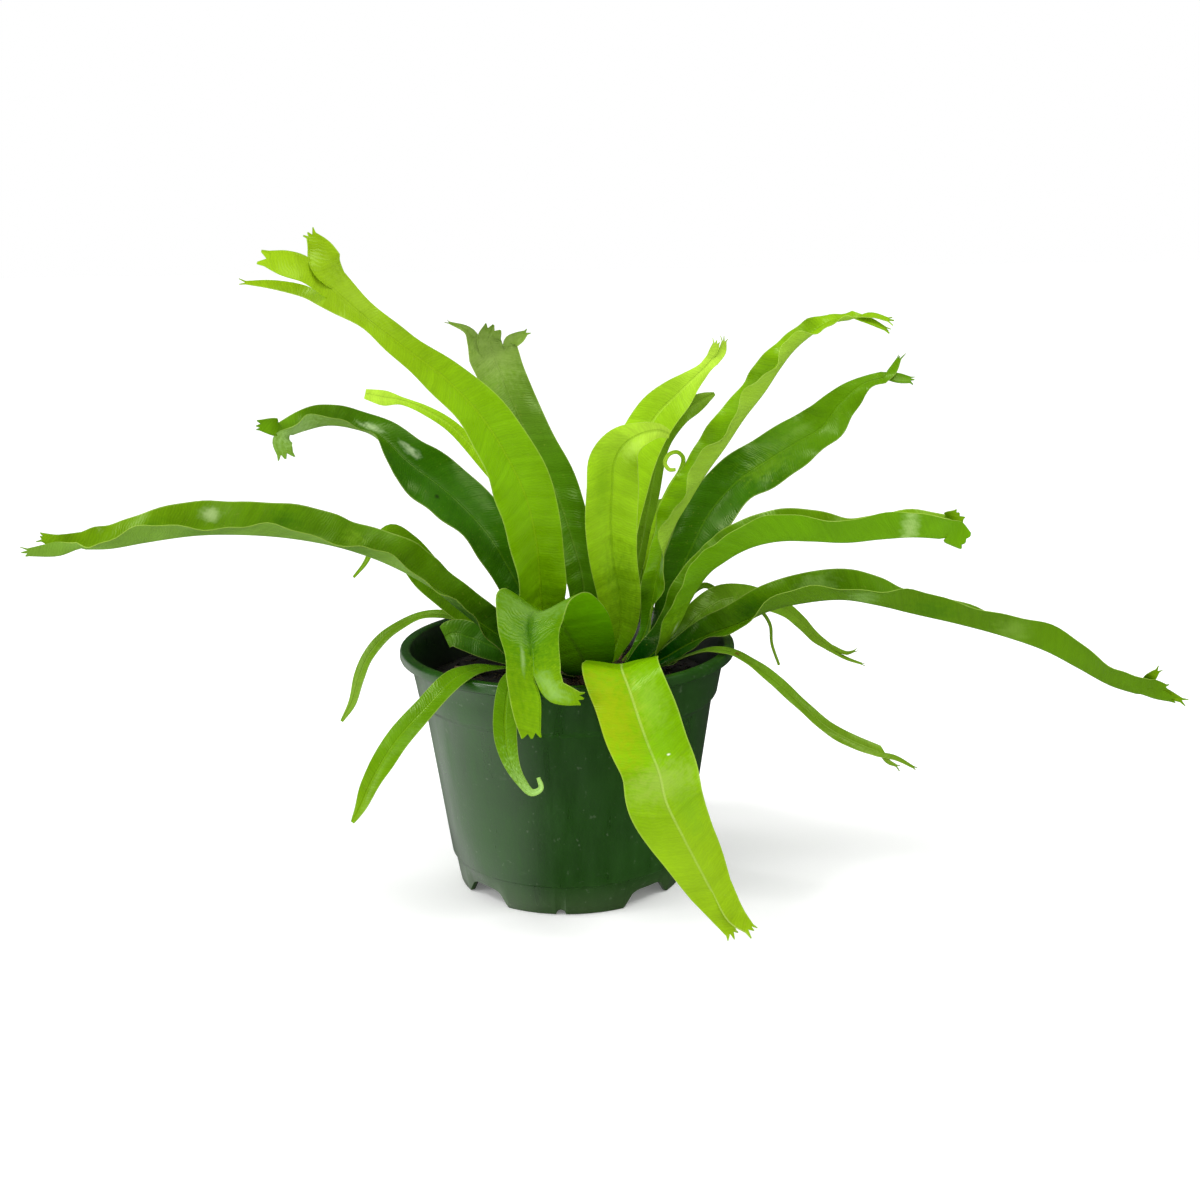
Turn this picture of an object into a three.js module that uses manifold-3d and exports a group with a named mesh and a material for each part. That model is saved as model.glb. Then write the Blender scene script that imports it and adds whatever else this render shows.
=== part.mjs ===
// A crested bird's nest fern growing in a round nursery pot: pot, potting mix, crown and 24 fronds.
// Millimetres, +Z up. The origin is the middle of the pot's underside, and the front is towards -Y.
import * as THREE from "three";
import { mergeVertices } from "three/addons/utils/BufferGeometryUtils.js";
import Module from "manifold-3d";

const wasm = await Module();
wasm.setup();

// Gap kept between pieces that touch.
const GAP = 0.3;
const POT_SIDES = 48;

// The pot, a six inch azalea pot.
const POT_HEIGHT = 120.8;
const RIM_RADIUS = 82.5;
const RIM_LIP_DROP = 5.2;
const RIM_ROUND = 1.6;
const OPENING_RADIUS = 77.4;
const COLLAR_BOTTOM = 97;
const COLLAR_RADIUS = 74.2;
const COLLAR_CHAMFER = 3;
const COLLAR_TOP_RADIUS = 77.6;
const BODY_TOP_RADIUS = 71.6;
const BASE_LINE_HEIGHT = 15.6;
const BODY_BOTTOM_RADIUS = 60.2;
const BASE_BAND_RADIUS = 58.8;
const FOOT_RADIUS = 56.2;
const FOOT_WIDTH = 2.6;
const WALL = 1.7;
const FLOOR = 2.2;
const CHANNEL_HEIGHT = 6.5;
const CHANNEL_INNER_RADIUS = 41;

// The four wide drain arches and the four small half round notches between them.
const ARCH_TURN = -48;
const ARCH_WIDTH = 30;
const ARCH_HEIGHT = 7.6;
const ARCH_CORNER = 1.6;
const ARCH_SHOULDER = 0.62;
const ARCH_FLAT = 0.3;
const NOTCH_TURN = -95;
const NOTCH_RADIUS = 2.3;
const QUARTER_TURN = 90;
const CUT_INSIDE = 50;
const CUT_OUTSIDE = 66;
const DRAIN_SLOT_RADIUS = 48.5;
const DRAIN_SLOT_DEPTH = 6;
const DRAIN_SLOT_WIDTH = 15;

// The potting mix and the crown that the fronds grow from.
const MIX_HEIGHT = 103.5;
const MIX_SINK = 2.5;
const CROWN_X = 14;
const CROWN_Y = -2;
const CROWN_TOP = 113;
const CROWN_RADIUS = 25;
const CROWN_SHOULDER = 103;
const CROWN_FOOT = 74;
const CROWN_FOOT_RADIUS = 13;
const CROWN_WAIST = 91;
const CROWN_WAIST_RADIUS = 21;
const CROWN_SIDES = 24;

// A frond's blade: rows for each station of its spine, and its thickness.
const ROWS_PER_STATION = 1.5;
const BLADE_THICKNESS = 0.9;
const MIDRIB_DEPTH = 0.7;

// The margins ripple fully on a blade wider than this, and the two margins ripple out of step.
const FULL_RIPPLE_HALF = 6;
const RIPPLE_LAG = 1.9;

const green = (hex, roughness = 0.42) =>
  new THREE.MeshStandardMaterial({ color: hex, roughness, metalness: 0 });

const MATERIALS = {
  pot: green(0x24421c, 0.45),
  mix: green(0x15110c, 0.95),
  crown: green(0x2d2416, 0.9),
  stalk: green(0x8a744c, 0.85),
  lime: green(0x86b81e),
  light: green(0x9cc43a),
  green: green(0x5c9a18),
  dark: green(0x2f6e0c),
  olive: green(0x6b8f3c, 0.5),
};

// Each station of a spine is [x, y, z, half width]. A face is [station, x, y, z]: which way the
// blade's upper side looks there. Columns is the number of strips across the blade. A channel is
// [station, one half, other half]: how far the two halves of the blade rise from the midrib, in
// degrees. Ripple is [height, waves] of the margins. A crest lobe grows from the share of the blade's
// width between from and to, and faces as the blade's end does unless it has its own face.
const FRONDS = [
  {
    name: "frond_tall_left",
    material: "lime",
    columns: 4,
    spine: [
      [3, -5, 108, 2.5], [-1, -6, 116, 4], [-5, -8, 124, 6.5], [-11, -14, 137, 11],
      [-12, -23, 156, 13.2], [-13, -30, 176, 13.6], [-17, -38, 199, 14.2], [-25, -47, 220, 14.4],
      [-36, -56, 240, 13], [-50, -65, 257, 9], [-66, -74, 271, 6], [-81, -80, 284, 6.5],
      [-94, -86, 297, 10],
    ],
    faces: [[0, 0.35, -0.9, 0.25], [12, 0.3, -0.85, 0.45]],
    channel: [[0, 12, 12]],
    ripple: [2.4, 3.5],
    crest: [
      { from: 0, to: 0.25, spine: [[-107, -82, 296, 3], [-120, -82, 299, 2.1], [-131, -82, 300, 0.8]] },
      { from: 0.25, to: 0.5, spine: [[-104, -93, 305, 6], [-112, -96, 308, 6], [-119, -96, 310, 3.6]] },
      { from: 0.5, to: 1, spine: [[-96, -88, 307, 8], [-99, -86, 314, 5.5], [-102, -86, 319, 2.4]] },
    ],
  },
  {
    name: "frond_back_left_upright",
    material: "dark",
    columns: 4,
    spine: [
      [7, 6, 108, 2.5], [9, 10, 120, 4.5], [9, 13, 134, 6.5], [8, 19, 149, 9], [3, 28, 167, 11.5],
      [-5, 38, 190, 12.5], [-15, 47, 209, 12.5], [-24, 55, 228, 12.5], [-31, 61, 245, 12.8],
      [-36, 65, 257, 13],
    ],
    faces: [[0, 0.25, -0.95, 0.2], [9, 0.25, -0.9, 0.35]],
    channel: [[0, 10, 10]],
    ripple: [1.4, 3],
    crest: [
      { from: 0, to: 0.25, spine: [[-46, 65, 264, 3.8], [-49, 65, 269, 2.2], [-58, 64, 273, 0.6]] },
      { from: 0.25, to: 0.75, spine: [[-38, 65, 264, 6.5], [-36, 64, 269, 5]] },
      { from: 0.75, to: 1, spine: [[-27, 67, 262, 4.2], [-22, 68, 265, 3], [-19, 69, 267, 1.4]] },
    ],
  },
  {
    name: "frond_left_glossy",
    material: "green",
    columns: 4,
    spine: [
      [1, 1, 107, 2.5], [-8, 1, 120, 3.5], [-18, 4, 137, 5.5], [-28, 8, 156, 11], [-37, 13, 171, 15],
      [-50, 20, 185, 16.5], [-63, 26, 196, 16], [-78, 30, 207, 14], [-91, 32, 220, 11.5],
      [-104, 28, 227, 11], [-115, 20, 230, 11], [-125, 11, 229, 11], [-132, 4, 227, 9],
    ],
    faces: [[0, 0.3, -0.75, 0.55], [7, 0.3, -0.7, 0.65], [9, 0.1, -0.4, 0.9], [12, 0, -0.3, 0.95]],
    channel: [[0, 16, 16], [7, 18, 18], [9, 50, 45], [12, 60, 45]],
    ripple: [2.6, 3.5],
    crest: [
      { from: 0, to: 0.5, face: [0, 1, 0.2], spine: [[-135, 1, 222, 5], [-134, 0, 216, 4]] },
      { from: 0.5, to: 1, face: [0, -1, 0.2], spine: [[-139, 1, 229, 4.5], [-145, 0, 230, 2.6]] },
    ],
  },
  {
    name: "frond_long_left",
    material: "green",
    columns: 4,
    spine: [
      [-5, -6, 105, 2.5], [-17, -7, 114, 5], [-32, -10, 127, 9.5], [-47, -16, 141, 13.5],
      [-59, -24, 155, 15.5], [-72, -31, 166, 16.5], [-89, -37, 176, 16.5], [-104, -44, 183, 16.5],
      [-125, -51, 189, 17.5], [-145, -56, 192, 18], [-164, -61, 193, 17], [-185, -65, 191, 15.5],
      [-202, -68, 188, 13], [-214, -69, 187, 8],
    ],
    faces: [[0, 0, -0.7, 0.7], [3, 0, -0.45, 0.9], [5, 0, -0.31, 0.95], [13, 0, -0.31, 0.95]],
    channel: [
      [0, 24, 24], [3, 36, 40], [5, 38, 46], [7, 44, 46], [9, 47, 48], [11, 57, 46], [13, 50, 34],
    ],
    ripple: [2.2, 5],
    crest: [
      { from: 0, to: 0.5, face: [0, 1, 0.2], spine: [[-226, -71, 185, 3.4], [-236, -73, 184.5, 1.8]] },
      { from: 0.5, to: 1, face: [0, -1, 0.2], spine: [[-224, -68, 188, 3.4], [-231, -67, 190, 2]] },
    ],
  },
  {
    name: "frond_behind_left",
    material: "green",
    columns: 2,
    spine: [
      [-2, 6, 106, 2.5], [-15, 9, 112, 3], [-29, 13, 118, 4.5], [-43, 21, 126, 8], [-58, 31, 135, 9.5],
      [-71, 39, 146, 9.5], [-83, 46, 160, 8], [-91, 48, 167, 5], [-99, 48, 161, 2.2],
      [-105, 48, 151, 1.2], [-111, 48, 144, 0.7],
    ],
    faces: [[0, 0.1, -0.6, 0.8], [6, 0.1, -0.8, 0.6], [10, -0.6, -0.8, 0.1]],
    channel: [[0, 14, 14]],
    ripple: [1, 3],
    crest: [],
  },
  {
    name: "frond_back_left_drooping",
    material: "olive",
    columns: 2,
    spine: [
      [0, 10, 105, 2], [-14, 15, 113, 2.2], [-31, 22, 120, 2.6], [-48, 31, 124, 2.8],
      [-64, 41, 125, 2.8], [-77, 47, 123, 2.8], [-89, 50, 117, 3], [-98, 51, 110, 3.4],
      [-106, 51, 100, 4], [-111, 50, 89, 4], [-115, 48, 76, 2.6], [-121, 47, 66, 0.9],
    ],
    faces: [[0, -0.1, -0.5, 0.85], [5, -0.2, -0.6, 0.75], [11, -0.6, -0.8, 0.1]],
    channel: [[0, 14, 14]],
    ripple: [0.7, 3],
    crest: [],
  },
  {
    name: "frond_front_left_drooping",
    material: "green",
    columns: 2,
    spine: [
      [-3, -12, 104, 2], [-15, -25, 112, 2.2], [-28, -42, 119.5, 3.2], [-40, -57, 123.5, 4.6],
      [-50, -69, 122.5, 5.6], [-63, -80, 112, 6.4], [-75, -85, 100, 6.2], [-83, -88, 89, 5.4],
      [-89, -89, 78, 4.4], [-93, -90, 69, 3], [-97, -90, 62, 0.9],
    ],
    faces: [[0, -0.1, 0.1, 1], [3, -0.15, -0.35, 0.9], [6, -0.4, -0.85, 0.4], [10, -0.4, -0.9, 0.2]],
    channel: [[0, 12, 12]],
    ripple: [0.8, 2.5],
    crest: [],
  },
  {
    name: "frond_left_stub",
    material: "dark",
    columns: 4,
    spine: [
      [-4, -2, 106, 2.5], [-14, -3, 109, 3.5], [-25, -2, 113.5, 5.5], [-37, 0, 118.5, 7.5],
      [-49, 4, 122.5, 8.2], [-57, 6, 124, 7.6], [-61, 6, 122, 6],
    ],
    faces: [[0, 0.1, -0.8, 0.6], [6, 0.1, -0.8, 0.6]],
    channel: [[0, 10, 10]],
    ripple: [0.6, 1.5],
    crest: [],
  },
  {
    name: "frond_front_crested",
    material: "green",
    columns: 4,
    spine: [
      [10, -15, 105, 6], [9, -19, 112, 14], [6, -26, 124, 19], [0, -37, 138, 21], [-5, -50, 149, 22],
      [-10, -62, 155, 22], [-14, -71, 155, 20], [-16, -78, 149, 15], [-15, -84, 140, 12],
      [-14.5, -89, 129, 12],
    ],
    faces: [
      [0, 0, 0.85, 0.5], [3, 0, 0.7, 0.7], [4.5, 0, 0.3, 0.95], [5.5, 0, -0.1, 1], [6.5, 0, -0.7, 0.7],
      [8, 0, -0.95, 0.35], [9, 0, -1, 0.1],
    ],
    channel: [[0, 15, 15], [3, 22, 22], [5, 34, 34], [6.5, 30, 30], [8, 16, 16], [9, 14, 14]],
    ripple: [1, 2],
    crest: [
      { from: 0, to: 0.5, spine: [[-5, -93, 123, 5.5], [1, -95, 121, 4.4], [5.5, -96, 120, 3]] },
      { from: 0.5, to: 1, spine: [[-18, -92, 119, 7], [-17, -94, 111, 6], [-16, -95, 104, 4.6]] },
    ],
  },
  {
    name: "frond_front_curl",
    material: "green",
    columns: 2,
    spine: [
      [4, -12, 105, 2], [-3, -26, 110.5, 2], [-11, -45, 119, 3], [-20, -64, 124.5, 4],
      [-25, -81, 123, 5.2], [-27, -89, 113, 5.5], [-27, -92, 101, 5.2], [-25, -94, 91, 4],
      [-21, -94, 82, 2.4], [-16, -94, 76, 1.6], [-12, -94, 78, 1.2], [-13, -94, 83, 0.8],
    ],
    faces: [[0, 0, 0.35, 0.95], [3, 0, 0, 1], [5, -0.2, -0.9, 0.3], [11, -0.1, -1, 0]],
    channel: [[0, 10, 10]],
    ripple: [0.6, 2],
    crest: [],
  },
  {
    name: "frond_front_right_broad",
    material: "lime",
    columns: 4,
    spine: [
      [24, -16, 104.5, 3], [26, -26, 110.5, 6], [26, -40, 118, 11], [25, -54, 124.5, 15.5],
      [25, -68, 128, 17.3], [25, -81, 128.5, 17.6], [28, -92, 122, 17.2], [32, -99, 110, 17],
      [36, -103, 99, 17], [40, -106, 89, 16.8], [43, -109, 76, 16.6], [49, -111, 63, 15],
      [55, -113, 51, 12.8], [62, -114, 37, 10],
    ],
    faces: [
      [0, 0, 0.5, 0.85], [4, -0.12, 0.05, 1], [5, -0.12, -0.35, 0.92], [6, -0.1, -0.85, 0.5],
      [13, 0, -0.95, 0.3],
    ],
    channel: [[0, 20, 20], [4, 14, 14], [8, 8, 8], [13, 12, 12]],
    ripple: [2, 3],
    crest: [
      { from: 0, to: 0.5, spine: [[73, -115, 25, 4.6], [79, -116, 19, 2.6]] },
      { from: 0.5, to: 1, spine: [[67, -115, 24, 4.6], [71, -116, 17, 2.6]] },
    ],
  },
  {
    name: "frond_centre_light",
    material: "light",
    columns: 4,
    spine: [
      [20, -6, 109, 2.5], [23, -6, 117, 4], [26, -6, 127, 8], [26, -8, 144, 10.5], [23, -11, 163, 12],
      [22, -14, 183, 12.5], [23, -16, 200, 13], [24, -17, 212, 12], [29, -20, 221, 9],
      [37, -22, 226, 5.5], [45, -20, 227, 3.2], [50, -18, 225, 2],
    ],
    faces: [[0, 0, -1, 0.1], [7, 0.05, -1, 0.15], [11, 0.1, -0.9, 0.4]],
    channel: [[0, 12, 12]],
    ripple: [1, 2.5],
    crest: [],
  },
  {
    name: "frond_centre_back_light",
    material: "light",
    columns: 4,
    spine: [
      [17, 4, 110, 2.5], [21, 4, 124, 4], [24, 5, 140, 5.5], [25, 8, 159, 8.5], [28, 13, 183, 10.5],
      [34, 20, 207, 11.5], [46, 29, 228, 11], [57, 34, 238, 8.5], [65, 38, 245, 5], [71, 40, 250, 3],
      [75, 42, 254, 3.8],
    ],
    faces: [[0, -0.1, -1, 0.1], [10, -0.1, -0.95, 0.2]],
    channel: [[0, 12, 12]],
    ripple: [0.8, 3],
    crest: [
      { from: 0, to: 0.5, spine: [[76, 43, 259, 2.4], [77, 43, 262, 1.6]] },
      { from: 0.5, to: 1, spine: [[80, 43, 258, 2.2], [81, 43, 263, 1.2]] },
    ],
  },
  {
    name: "frond_centre_back_narrow",
    material: "dark",
    columns: 2,
    spine: [
      [22, 8, 109, 2], [27, 14, 122, 2.4], [31, 18, 138, 3], [37, 23, 161, 4], [43, 31, 188, 4.5],
      [49, 39, 213, 4.8], [58, 43, 225, 5], [66, 47, 231, 4.8], [72, 50, 234, 3.4], [77, 52, 236, 0.9],
    ],
    faces: [[0, 0, -1, 0.2], [9, 0, -1, 0.3]],
    channel: [[0, 12, 12]],
    ripple: [0.8, 3],
    crest: [],
  },
  {
    name: "frond_coiled_tip",
    material: "light",
    columns: 2,
    spine: [
      [28, 1, 108, 2], [34, 4, 115, 2], [39, 7, 124, 2.4], [39, 9, 140, 3], [42, 10, 160, 2.6],
      [46, 10, 180, 2], [52, 9, 195, 1.6], [57, 8, 204, 1.2], [58, 7, 210, 1], [55, 6, 213, 1],
      [51, 5, 212, 1], [49, 4, 208, 1], [51, 3, 205, 1], [54, 2, 205, 0.8],
    ],
    faces: [[0, 0, -1, 0.1], [13, 0, -1, 0.1]],
    channel: [[0, 0, 0]],
    ripple: [0, 1],
    crest: [],
  },
  {
    name: "frond_right_tall",
    material: "light",
    columns: 4,
    spine: [
      [29, -4, 107, 2], [34, -2, 115, 3], [39, 0, 126, 4.5], [42, 0, 142, 6.5], [45, -1, 161, 8.5],
      [50, -1, 178, 11.5], [57, -2, 192, 13.5], [65, -4, 206, 14], [74, -6, 219, 14],
      [83, -8, 233, 13.5], [92, -11, 245, 12.5], [99, -14, 256, 11.5], [106, -16, 265, 10],
      [115, -19, 272, 7], [124, -22, 277, 5], [134, -24, 278.5, 3.8],
    ],
    faces: [[0, -0.4, -0.85, 0.3], [5, -0.72, -0.22, 0.6], [14, -0.6, -0.22, 0.7], [15, -0.3, -0.5, 0.8]],
    channel: [[0, 14, 14], [4, 35, 35], [6, 54, 54], [12, 54, 54], [15, 25, 25]],
    ripple: [3, 6],
    crest: [
      { from: 0, to: 0.5, spine: [[143, -25, 276, 2.2], [149, -25, 273, 1.2]] },
      { from: 0.5, to: 1, spine: [[143, -25, 279, 2], [150, -25, 277, 1.4]] },
    ],
  },
  {
    name: "frond_right_broad",
    material: "dark",
    columns: 4,
    spine: [
      [30, 6, 107, 2], [38, 7, 114, 3], [45, 8, 122, 4.5], [50, 11, 133, 6.5], [56, 17, 148, 10],
      [64, 23, 164, 13], [73, 30, 179, 14.5], [87, 37, 193, 14], [104, 44, 203, 13.5],
      [119, 49, 211, 14], [132, 52, 218, 13.5], [141, 54, 229, 8.5], [153, 56, 239, 5],
      [164, 57, 242, 4],
    ],
    faces: [[0, -0.35, -0.85, 0.4], [13, -0.3, -0.8, 0.5]],
    channel: [[0, 12, 12]],
    ripple: [2.8, 4],
    crest: [
      { from: 0, to: 0.5, spine: [[172, 57, 242, 3], [178, 57, 241, 1.8]] },
      { from: 0.5, to: 1, spine: [[169, 57, 246, 2.6], [172, 57, 252, 1.2]] },
    ],
  },
  {
    name: "frond_right_level",
    material: "lime",
    columns: 4,
    spine: [
      [28, -10, 106, 2.5], [35, -13, 112, 7], [43, -16, 121, 11], [50, -20, 133, 13],
      [55, -24, 146, 13.5], [60, -29, 157, 13.5], [65, -34, 165, 13.5], [71, -38, 171, 14],
      [78, -42, 177, 15], [87, -46, 182, 16], [99, -49, 185, 17], [113, -52, 185, 16.5],
      [128, -55, 184, 14], [143, -58, 186, 15], [158, -59, 187, 16], [172, -61, 186, 15],
    ],
    faces: [
      [0, -0.5, -0.75, 0.4], [3, -0.85, -0.15, 0.5], [6, -0.8, 0, 0.6], [9, -0.2, 0, 1],
      [15, 0, 0.05, 1],
    ],
    channel: [
      [0, 20, 20], [3, 50, 50], [6, 60, 60], [8, 70, 66], [10, 72, 66], [12, 58, 68], [15, 50, 62],
    ],
    ripple: [1.8, 4.5],
    crest: [
      { from: 0, to: 0.5, face: [0, -1, 0.2], spine: [[176, -59, 190, 5], [178, -59, 192, 3]] },
      { from: 0.5, to: 1, face: [0, 1, 0.2], spine: [[176, -63, 184, 6], [180, -64, 181, 4.5]] },
    ],
  },
  {
    name: "frond_long_right",
    material: "green",
    columns: 4,
    spine: [
      [33, 1, 105, 2], [46, 1, 110, 4], [58, -1, 118, 7], [70, -3, 125, 9.5], [83, -5, 131, 12],
      [98, -8, 140, 14.5], [116, -10, 145, 16], [135, -12, 147, 17], [153, -13, 144, 16],
      [171, -13, 139, 14.5], [192, -15, 134, 14], [214, -17, 128, 14.5], [234, -19, 121, 15.5],
      [250, -21, 112, 14.5], [265, -23, 103, 12.5], [279, -25, 98, 11],
    ],
    faces: [
      [0, -0.2, -0.6, 0.75], [3, -0.1, -0.5, 0.85], [5, 0, -0.28, 0.96], [7, 0, -0.28, 0.96],
      [8, 0, -0.14, 1], [9, 0, 0.1, 1], [10, 0, 0.17, 0.98], [15, 0, 0.1, 0.98],
    ],
    channel: [
      [0, 22, 22], [3, 50, 30], [4, 55, 40], [5, 58, 58], [7, 61, 61], [8, 58, 58], [9, 52, 62],
      [12, 50, 62], [14, 40, 55], [15, 35, 50],
    ],
    ripple: [2.4, 5],
    crest: [
      { from: 0, to: 0.25, face: [0, -1, 0.2], spine: [[283, -24, 104, 2.8], [286, -24, 107, 1.2]] },
      { from: 0.25, to: 0.5, face: [0, -1, 0.2], spine: [[287, -25, 97, 3], [298, -26, 92.5, 1.2]] },
      { from: 0.5, to: 0.75, face: [0, 1, 0.2], spine: [[286, -27, 96, 3], [292, -28, 94, 1.6]] },
      { from: 0.75, to: 1, face: [0, 1, 0.2], spine: [[284, -28, 101, 2.8], [289, -28, 100, 1.4]] },
    ],
  },
  {
    name: "frond_thread",
    material: "dark",
    columns: 2,
    spine: [
      [29, 15, 106, 1.2], [49, 25, 118, 1.3], [62, 36, 133, 1.4], [71, 42, 138, 1.6],
      [81, 48, 132, 1.5], [93, 52, 127, 1.2], [102, 53, 121, 1], [107, 54, 113, 0.9],
      [108, 54, 103, 0.8], [112, 54, 91, 0.7],
    ],
    faces: [[0, 0, -1, 0.3], [9, 0.2, -1, 0.1]],
    channel: [[0, 0, 0]],
    ripple: [0, 1],
    crest: [],
  },
  {
    name: "frond_back_right_arching",
    material: "olive",
    columns: 2,
    spine: [
      [32, 7, 104.5, 2.4], [45, 13, 111, 3.2], [59, 21, 119, 6.5], [69, 28, 127, 8.5], [80, 35, 132, 8],
      [93, 41, 132, 6.5], [104, 46, 128, 5.2], [115, 50, 122, 4.2], [123, 52, 115, 3.4],
      [131, 54, 106, 3.2], [139, 54, 100, 2.2],
    ],
    faces: [[0, 0, -0.7, 0.7], [4, 0, -0.85, 0.55], [10, 0.5, -0.8, 0.2]],
    channel: [[0, 10, 10]],
    ripple: [0.8, 3],
    crest: [
      { from: 0, to: 0.5, spine: [[148, 54, 97, 1.1], [152, 54, 98, 0.6]] },
      { from: 0.5, to: 1, spine: [[148, 54, 94, 1], [156, 54, 91, 0.6]] },
    ],
  },
  {
    name: "frond_right_drooping",
    material: "green",
    columns: 2,
    spine: [
      [32, -8, 104, 1.6], [46, -14, 111, 1.6], [59, -22, 118.5, 1.8], [69, -28, 122.5, 2.2],
      [79, -33, 122.5, 2.8], [89, -37, 117, 3.2], [100, -41, 109, 3.4], [111, -46, 99, 3.4],
      [122, -51, 90, 3.4], [134, -55, 84, 3.6], [145, -58, 80, 3.2],
    ],
    faces: [[0, 0, -0.2, 1], [4, 0.1, -0.35, 0.95], [6, 0.4, -0.75, 0.5], [10, 0.3, -0.8, 0.5]],
    channel: [[0, 14, 14]],
    ripple: [0.8, 4],
    crest: [
      { from: 0, to: 0.5, spine: [[149, -60, 76, 1.3], [153, -61, 74, 0.6]] },
      { from: 0.5, to: 1, spine: [[153, -59, 77, 1.3], [161, -61, 73, 0.6]] },
    ],
  },
  {
    name: "frond_budding_left",
    material: "light",
    columns: 2,
    spine: [
      [5, 1, 109, 2], [2, 2, 124, 2.2], [-3, 3, 140, 2.8], [-10, 2, 160, 3.6], [-22, -1, 190, 4.4],
      [-38, -6, 212, 4], [-53, -8, 229, 3], [-65, -9, 237, 2.4], [-76, -9, 241.5, 1.6],
      [-84, -9, 243, 4], [-93, -9, 245, 2.4],
    ],
    faces: [[0, 0.3, -0.95, 0.2], [10, 0.2, -0.95, 0.3]],
    channel: [[0, 8, 8]],
    ripple: [0.4, 3],
    crest: [],
  },
  {
    name: "frond_back_arching",
    material: "olive",
    columns: 4,
    spine: [
      [23, 14, 105, 2], [31, 20, 118, 2.6], [37, 27, 136, 3.2], [40, 33, 154, 4.5], [43, 42, 171, 6],
      [45, 54, 180, 7], [48, 70, 178, 8], [52, 92, 168, 8.5], [56, 112, 150, 7.5], [58, 124, 132, 5.5],
    ],
    faces: [[0, 0, -0.9, 0.4], [4, 0, -0.75, 0.65], [6, 0, 0.1, 1], [9, 0, 0.85, 0.5]],
    channel: [[0, 12, 12]],
    ripple: [1.2, 3],
    crest: [
      { from: 0, to: 0.5, spine: [[54, 130, 122, 2.2], [53, 131, 115, 0.7]] },
      { from: 0.5, to: 1, spine: [[62, 130, 121, 2.4], [64, 133, 112, 0.7]] },
    ],
  },
];

// A crest lobe is flat.
const FLAT = { ripple: [0, 1], channel: [[0, 0, 0]] };

const radians = (degrees) => (degrees * Math.PI) / 180;

// A geometry as a manifold-3d solid.
function solid(geometry) {
  const plain = geometry.clone();
  plain.deleteAttribute("normal");
  plain.deleteAttribute("uv");
  const merged = mergeVertices(plain, 1e-4);
  return new wasm.Manifold(
    new wasm.Mesh({
      numProp: 3,
      vertProperties: merged.attributes.position.array,
      triVerts: new Uint32Array(merged.index.array),
    }),
  );
}

// A manifold-3d solid as a named mesh.
function mesh(name, body, material) {
  const made = body.getMesh();
  const geometry = new THREE.BufferGeometry();
  geometry.setAttribute("position", new THREE.BufferAttribute(made.vertProperties, 3));
  geometry.setIndex(new THREE.BufferAttribute(made.triVerts, 1));
  geometry.computeVertexNormals();
  const result = new THREE.Mesh(geometry, MATERIALS[material]);
  result.name = name;
  return result;
}

// A solid of revolution about +Z from [radius, height] points that go up its outside.
function turned(points, sides) {
  const profile = points.map(([radius, height]) => new THREE.Vector2(radius, height));
  const geometry = new THREE.LatheGeometry(profile, sides);
  geometry.rotateX(Math.PI / 2);
  return solid(geometry);
}

// The pot's outer radius at a height on its tapered body.
function bodyRadius(height) {
  const rise = (height - BASE_LINE_HEIGHT) / (COLLAR_BOTTOM - COLLAR_CHAMFER - BASE_LINE_HEIGHT);
  return BODY_BOTTOM_RADIUS + rise * (BODY_TOP_RADIUS - BODY_BOTTOM_RADIUS);
}

// The pot's inside wall, from the floor to the opening, as [radius, height] points.
function insideWall() {
  const step = COLLAR_BOTTOM - COLLAR_CHAMFER;
  return [
    [BASE_BAND_RADIUS - WALL, CHANNEL_HEIGHT + FLOOR],
    [bodyRadius(step) - WALL, step],
    [COLLAR_RADIUS - WALL, COLLAR_BOTTOM],
    [OPENING_RADIUS - 1.2, POT_HEIGHT - RIM_LIP_DROP],
    [OPENING_RADIUS, POT_HEIGHT - 1],
  ];
}

// One of the wide arches that let water out at the foot.
function drainArch(turn) {
  const half = radians(ARCH_WIDTH / 2) * FOOT_RADIUS;
  const outline = new THREE.Shape();
  outline.moveTo(-half, -1);
  outline.lineTo(half, -1);
  const shoulder = half * ARCH_SHOULDER;
  const flat = half * ARCH_FLAT;
  const corner = (shoulder + flat) / 2;
  outline.lineTo(shoulder, ARCH_HEIGHT - ARCH_CORNER);
  outline.quadraticCurveTo(corner, ARCH_HEIGHT, flat, ARCH_HEIGHT);
  outline.lineTo(-flat, ARCH_HEIGHT);
  outline.quadraticCurveTo(-corner, ARCH_HEIGHT, -shoulder, ARCH_HEIGHT - ARCH_CORNER);
  outline.closePath();
  return radialCut(outline, turn);
}

// The slot above an arch, through the floor of the channel under the pot.
function drainSlot(turn) {
  const slot = new THREE.BoxGeometry(DRAIN_SLOT_DEPTH, DRAIN_SLOT_WIDTH, 4 * FLOOR);
  slot.translate(DRAIN_SLOT_RADIUS, 0, CHANNEL_HEIGHT + FLOOR / 2);
  slot.rotateZ(radians(turn));
  return solid(slot);
}

// One of the small half round notches in the foot.
function drainNotch(turn) {
  const outline = new THREE.Shape();
  outline.absarc(0, 0, NOTCH_RADIUS, 0, Math.PI * 2);
  return radialCut(outline, turn);
}

// An outline seen from outside, pushed outwards through the foot at a turn about +Z.
function radialCut(outline, turn) {
  const depth = CUT_OUTSIDE - CUT_INSIDE;
  const geometry = new THREE.ExtrudeGeometry(outline, { depth, bevelEnabled: false, curveSegments: 6 });
  geometry.rotateX(Math.PI / 2);
  geometry.rotateZ(Math.PI);
  geometry.translate(0, CUT_INSIDE, 0);
  geometry.rotateZ(radians(turn) - Math.PI / 2);
  return solid(geometry);
}

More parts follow.
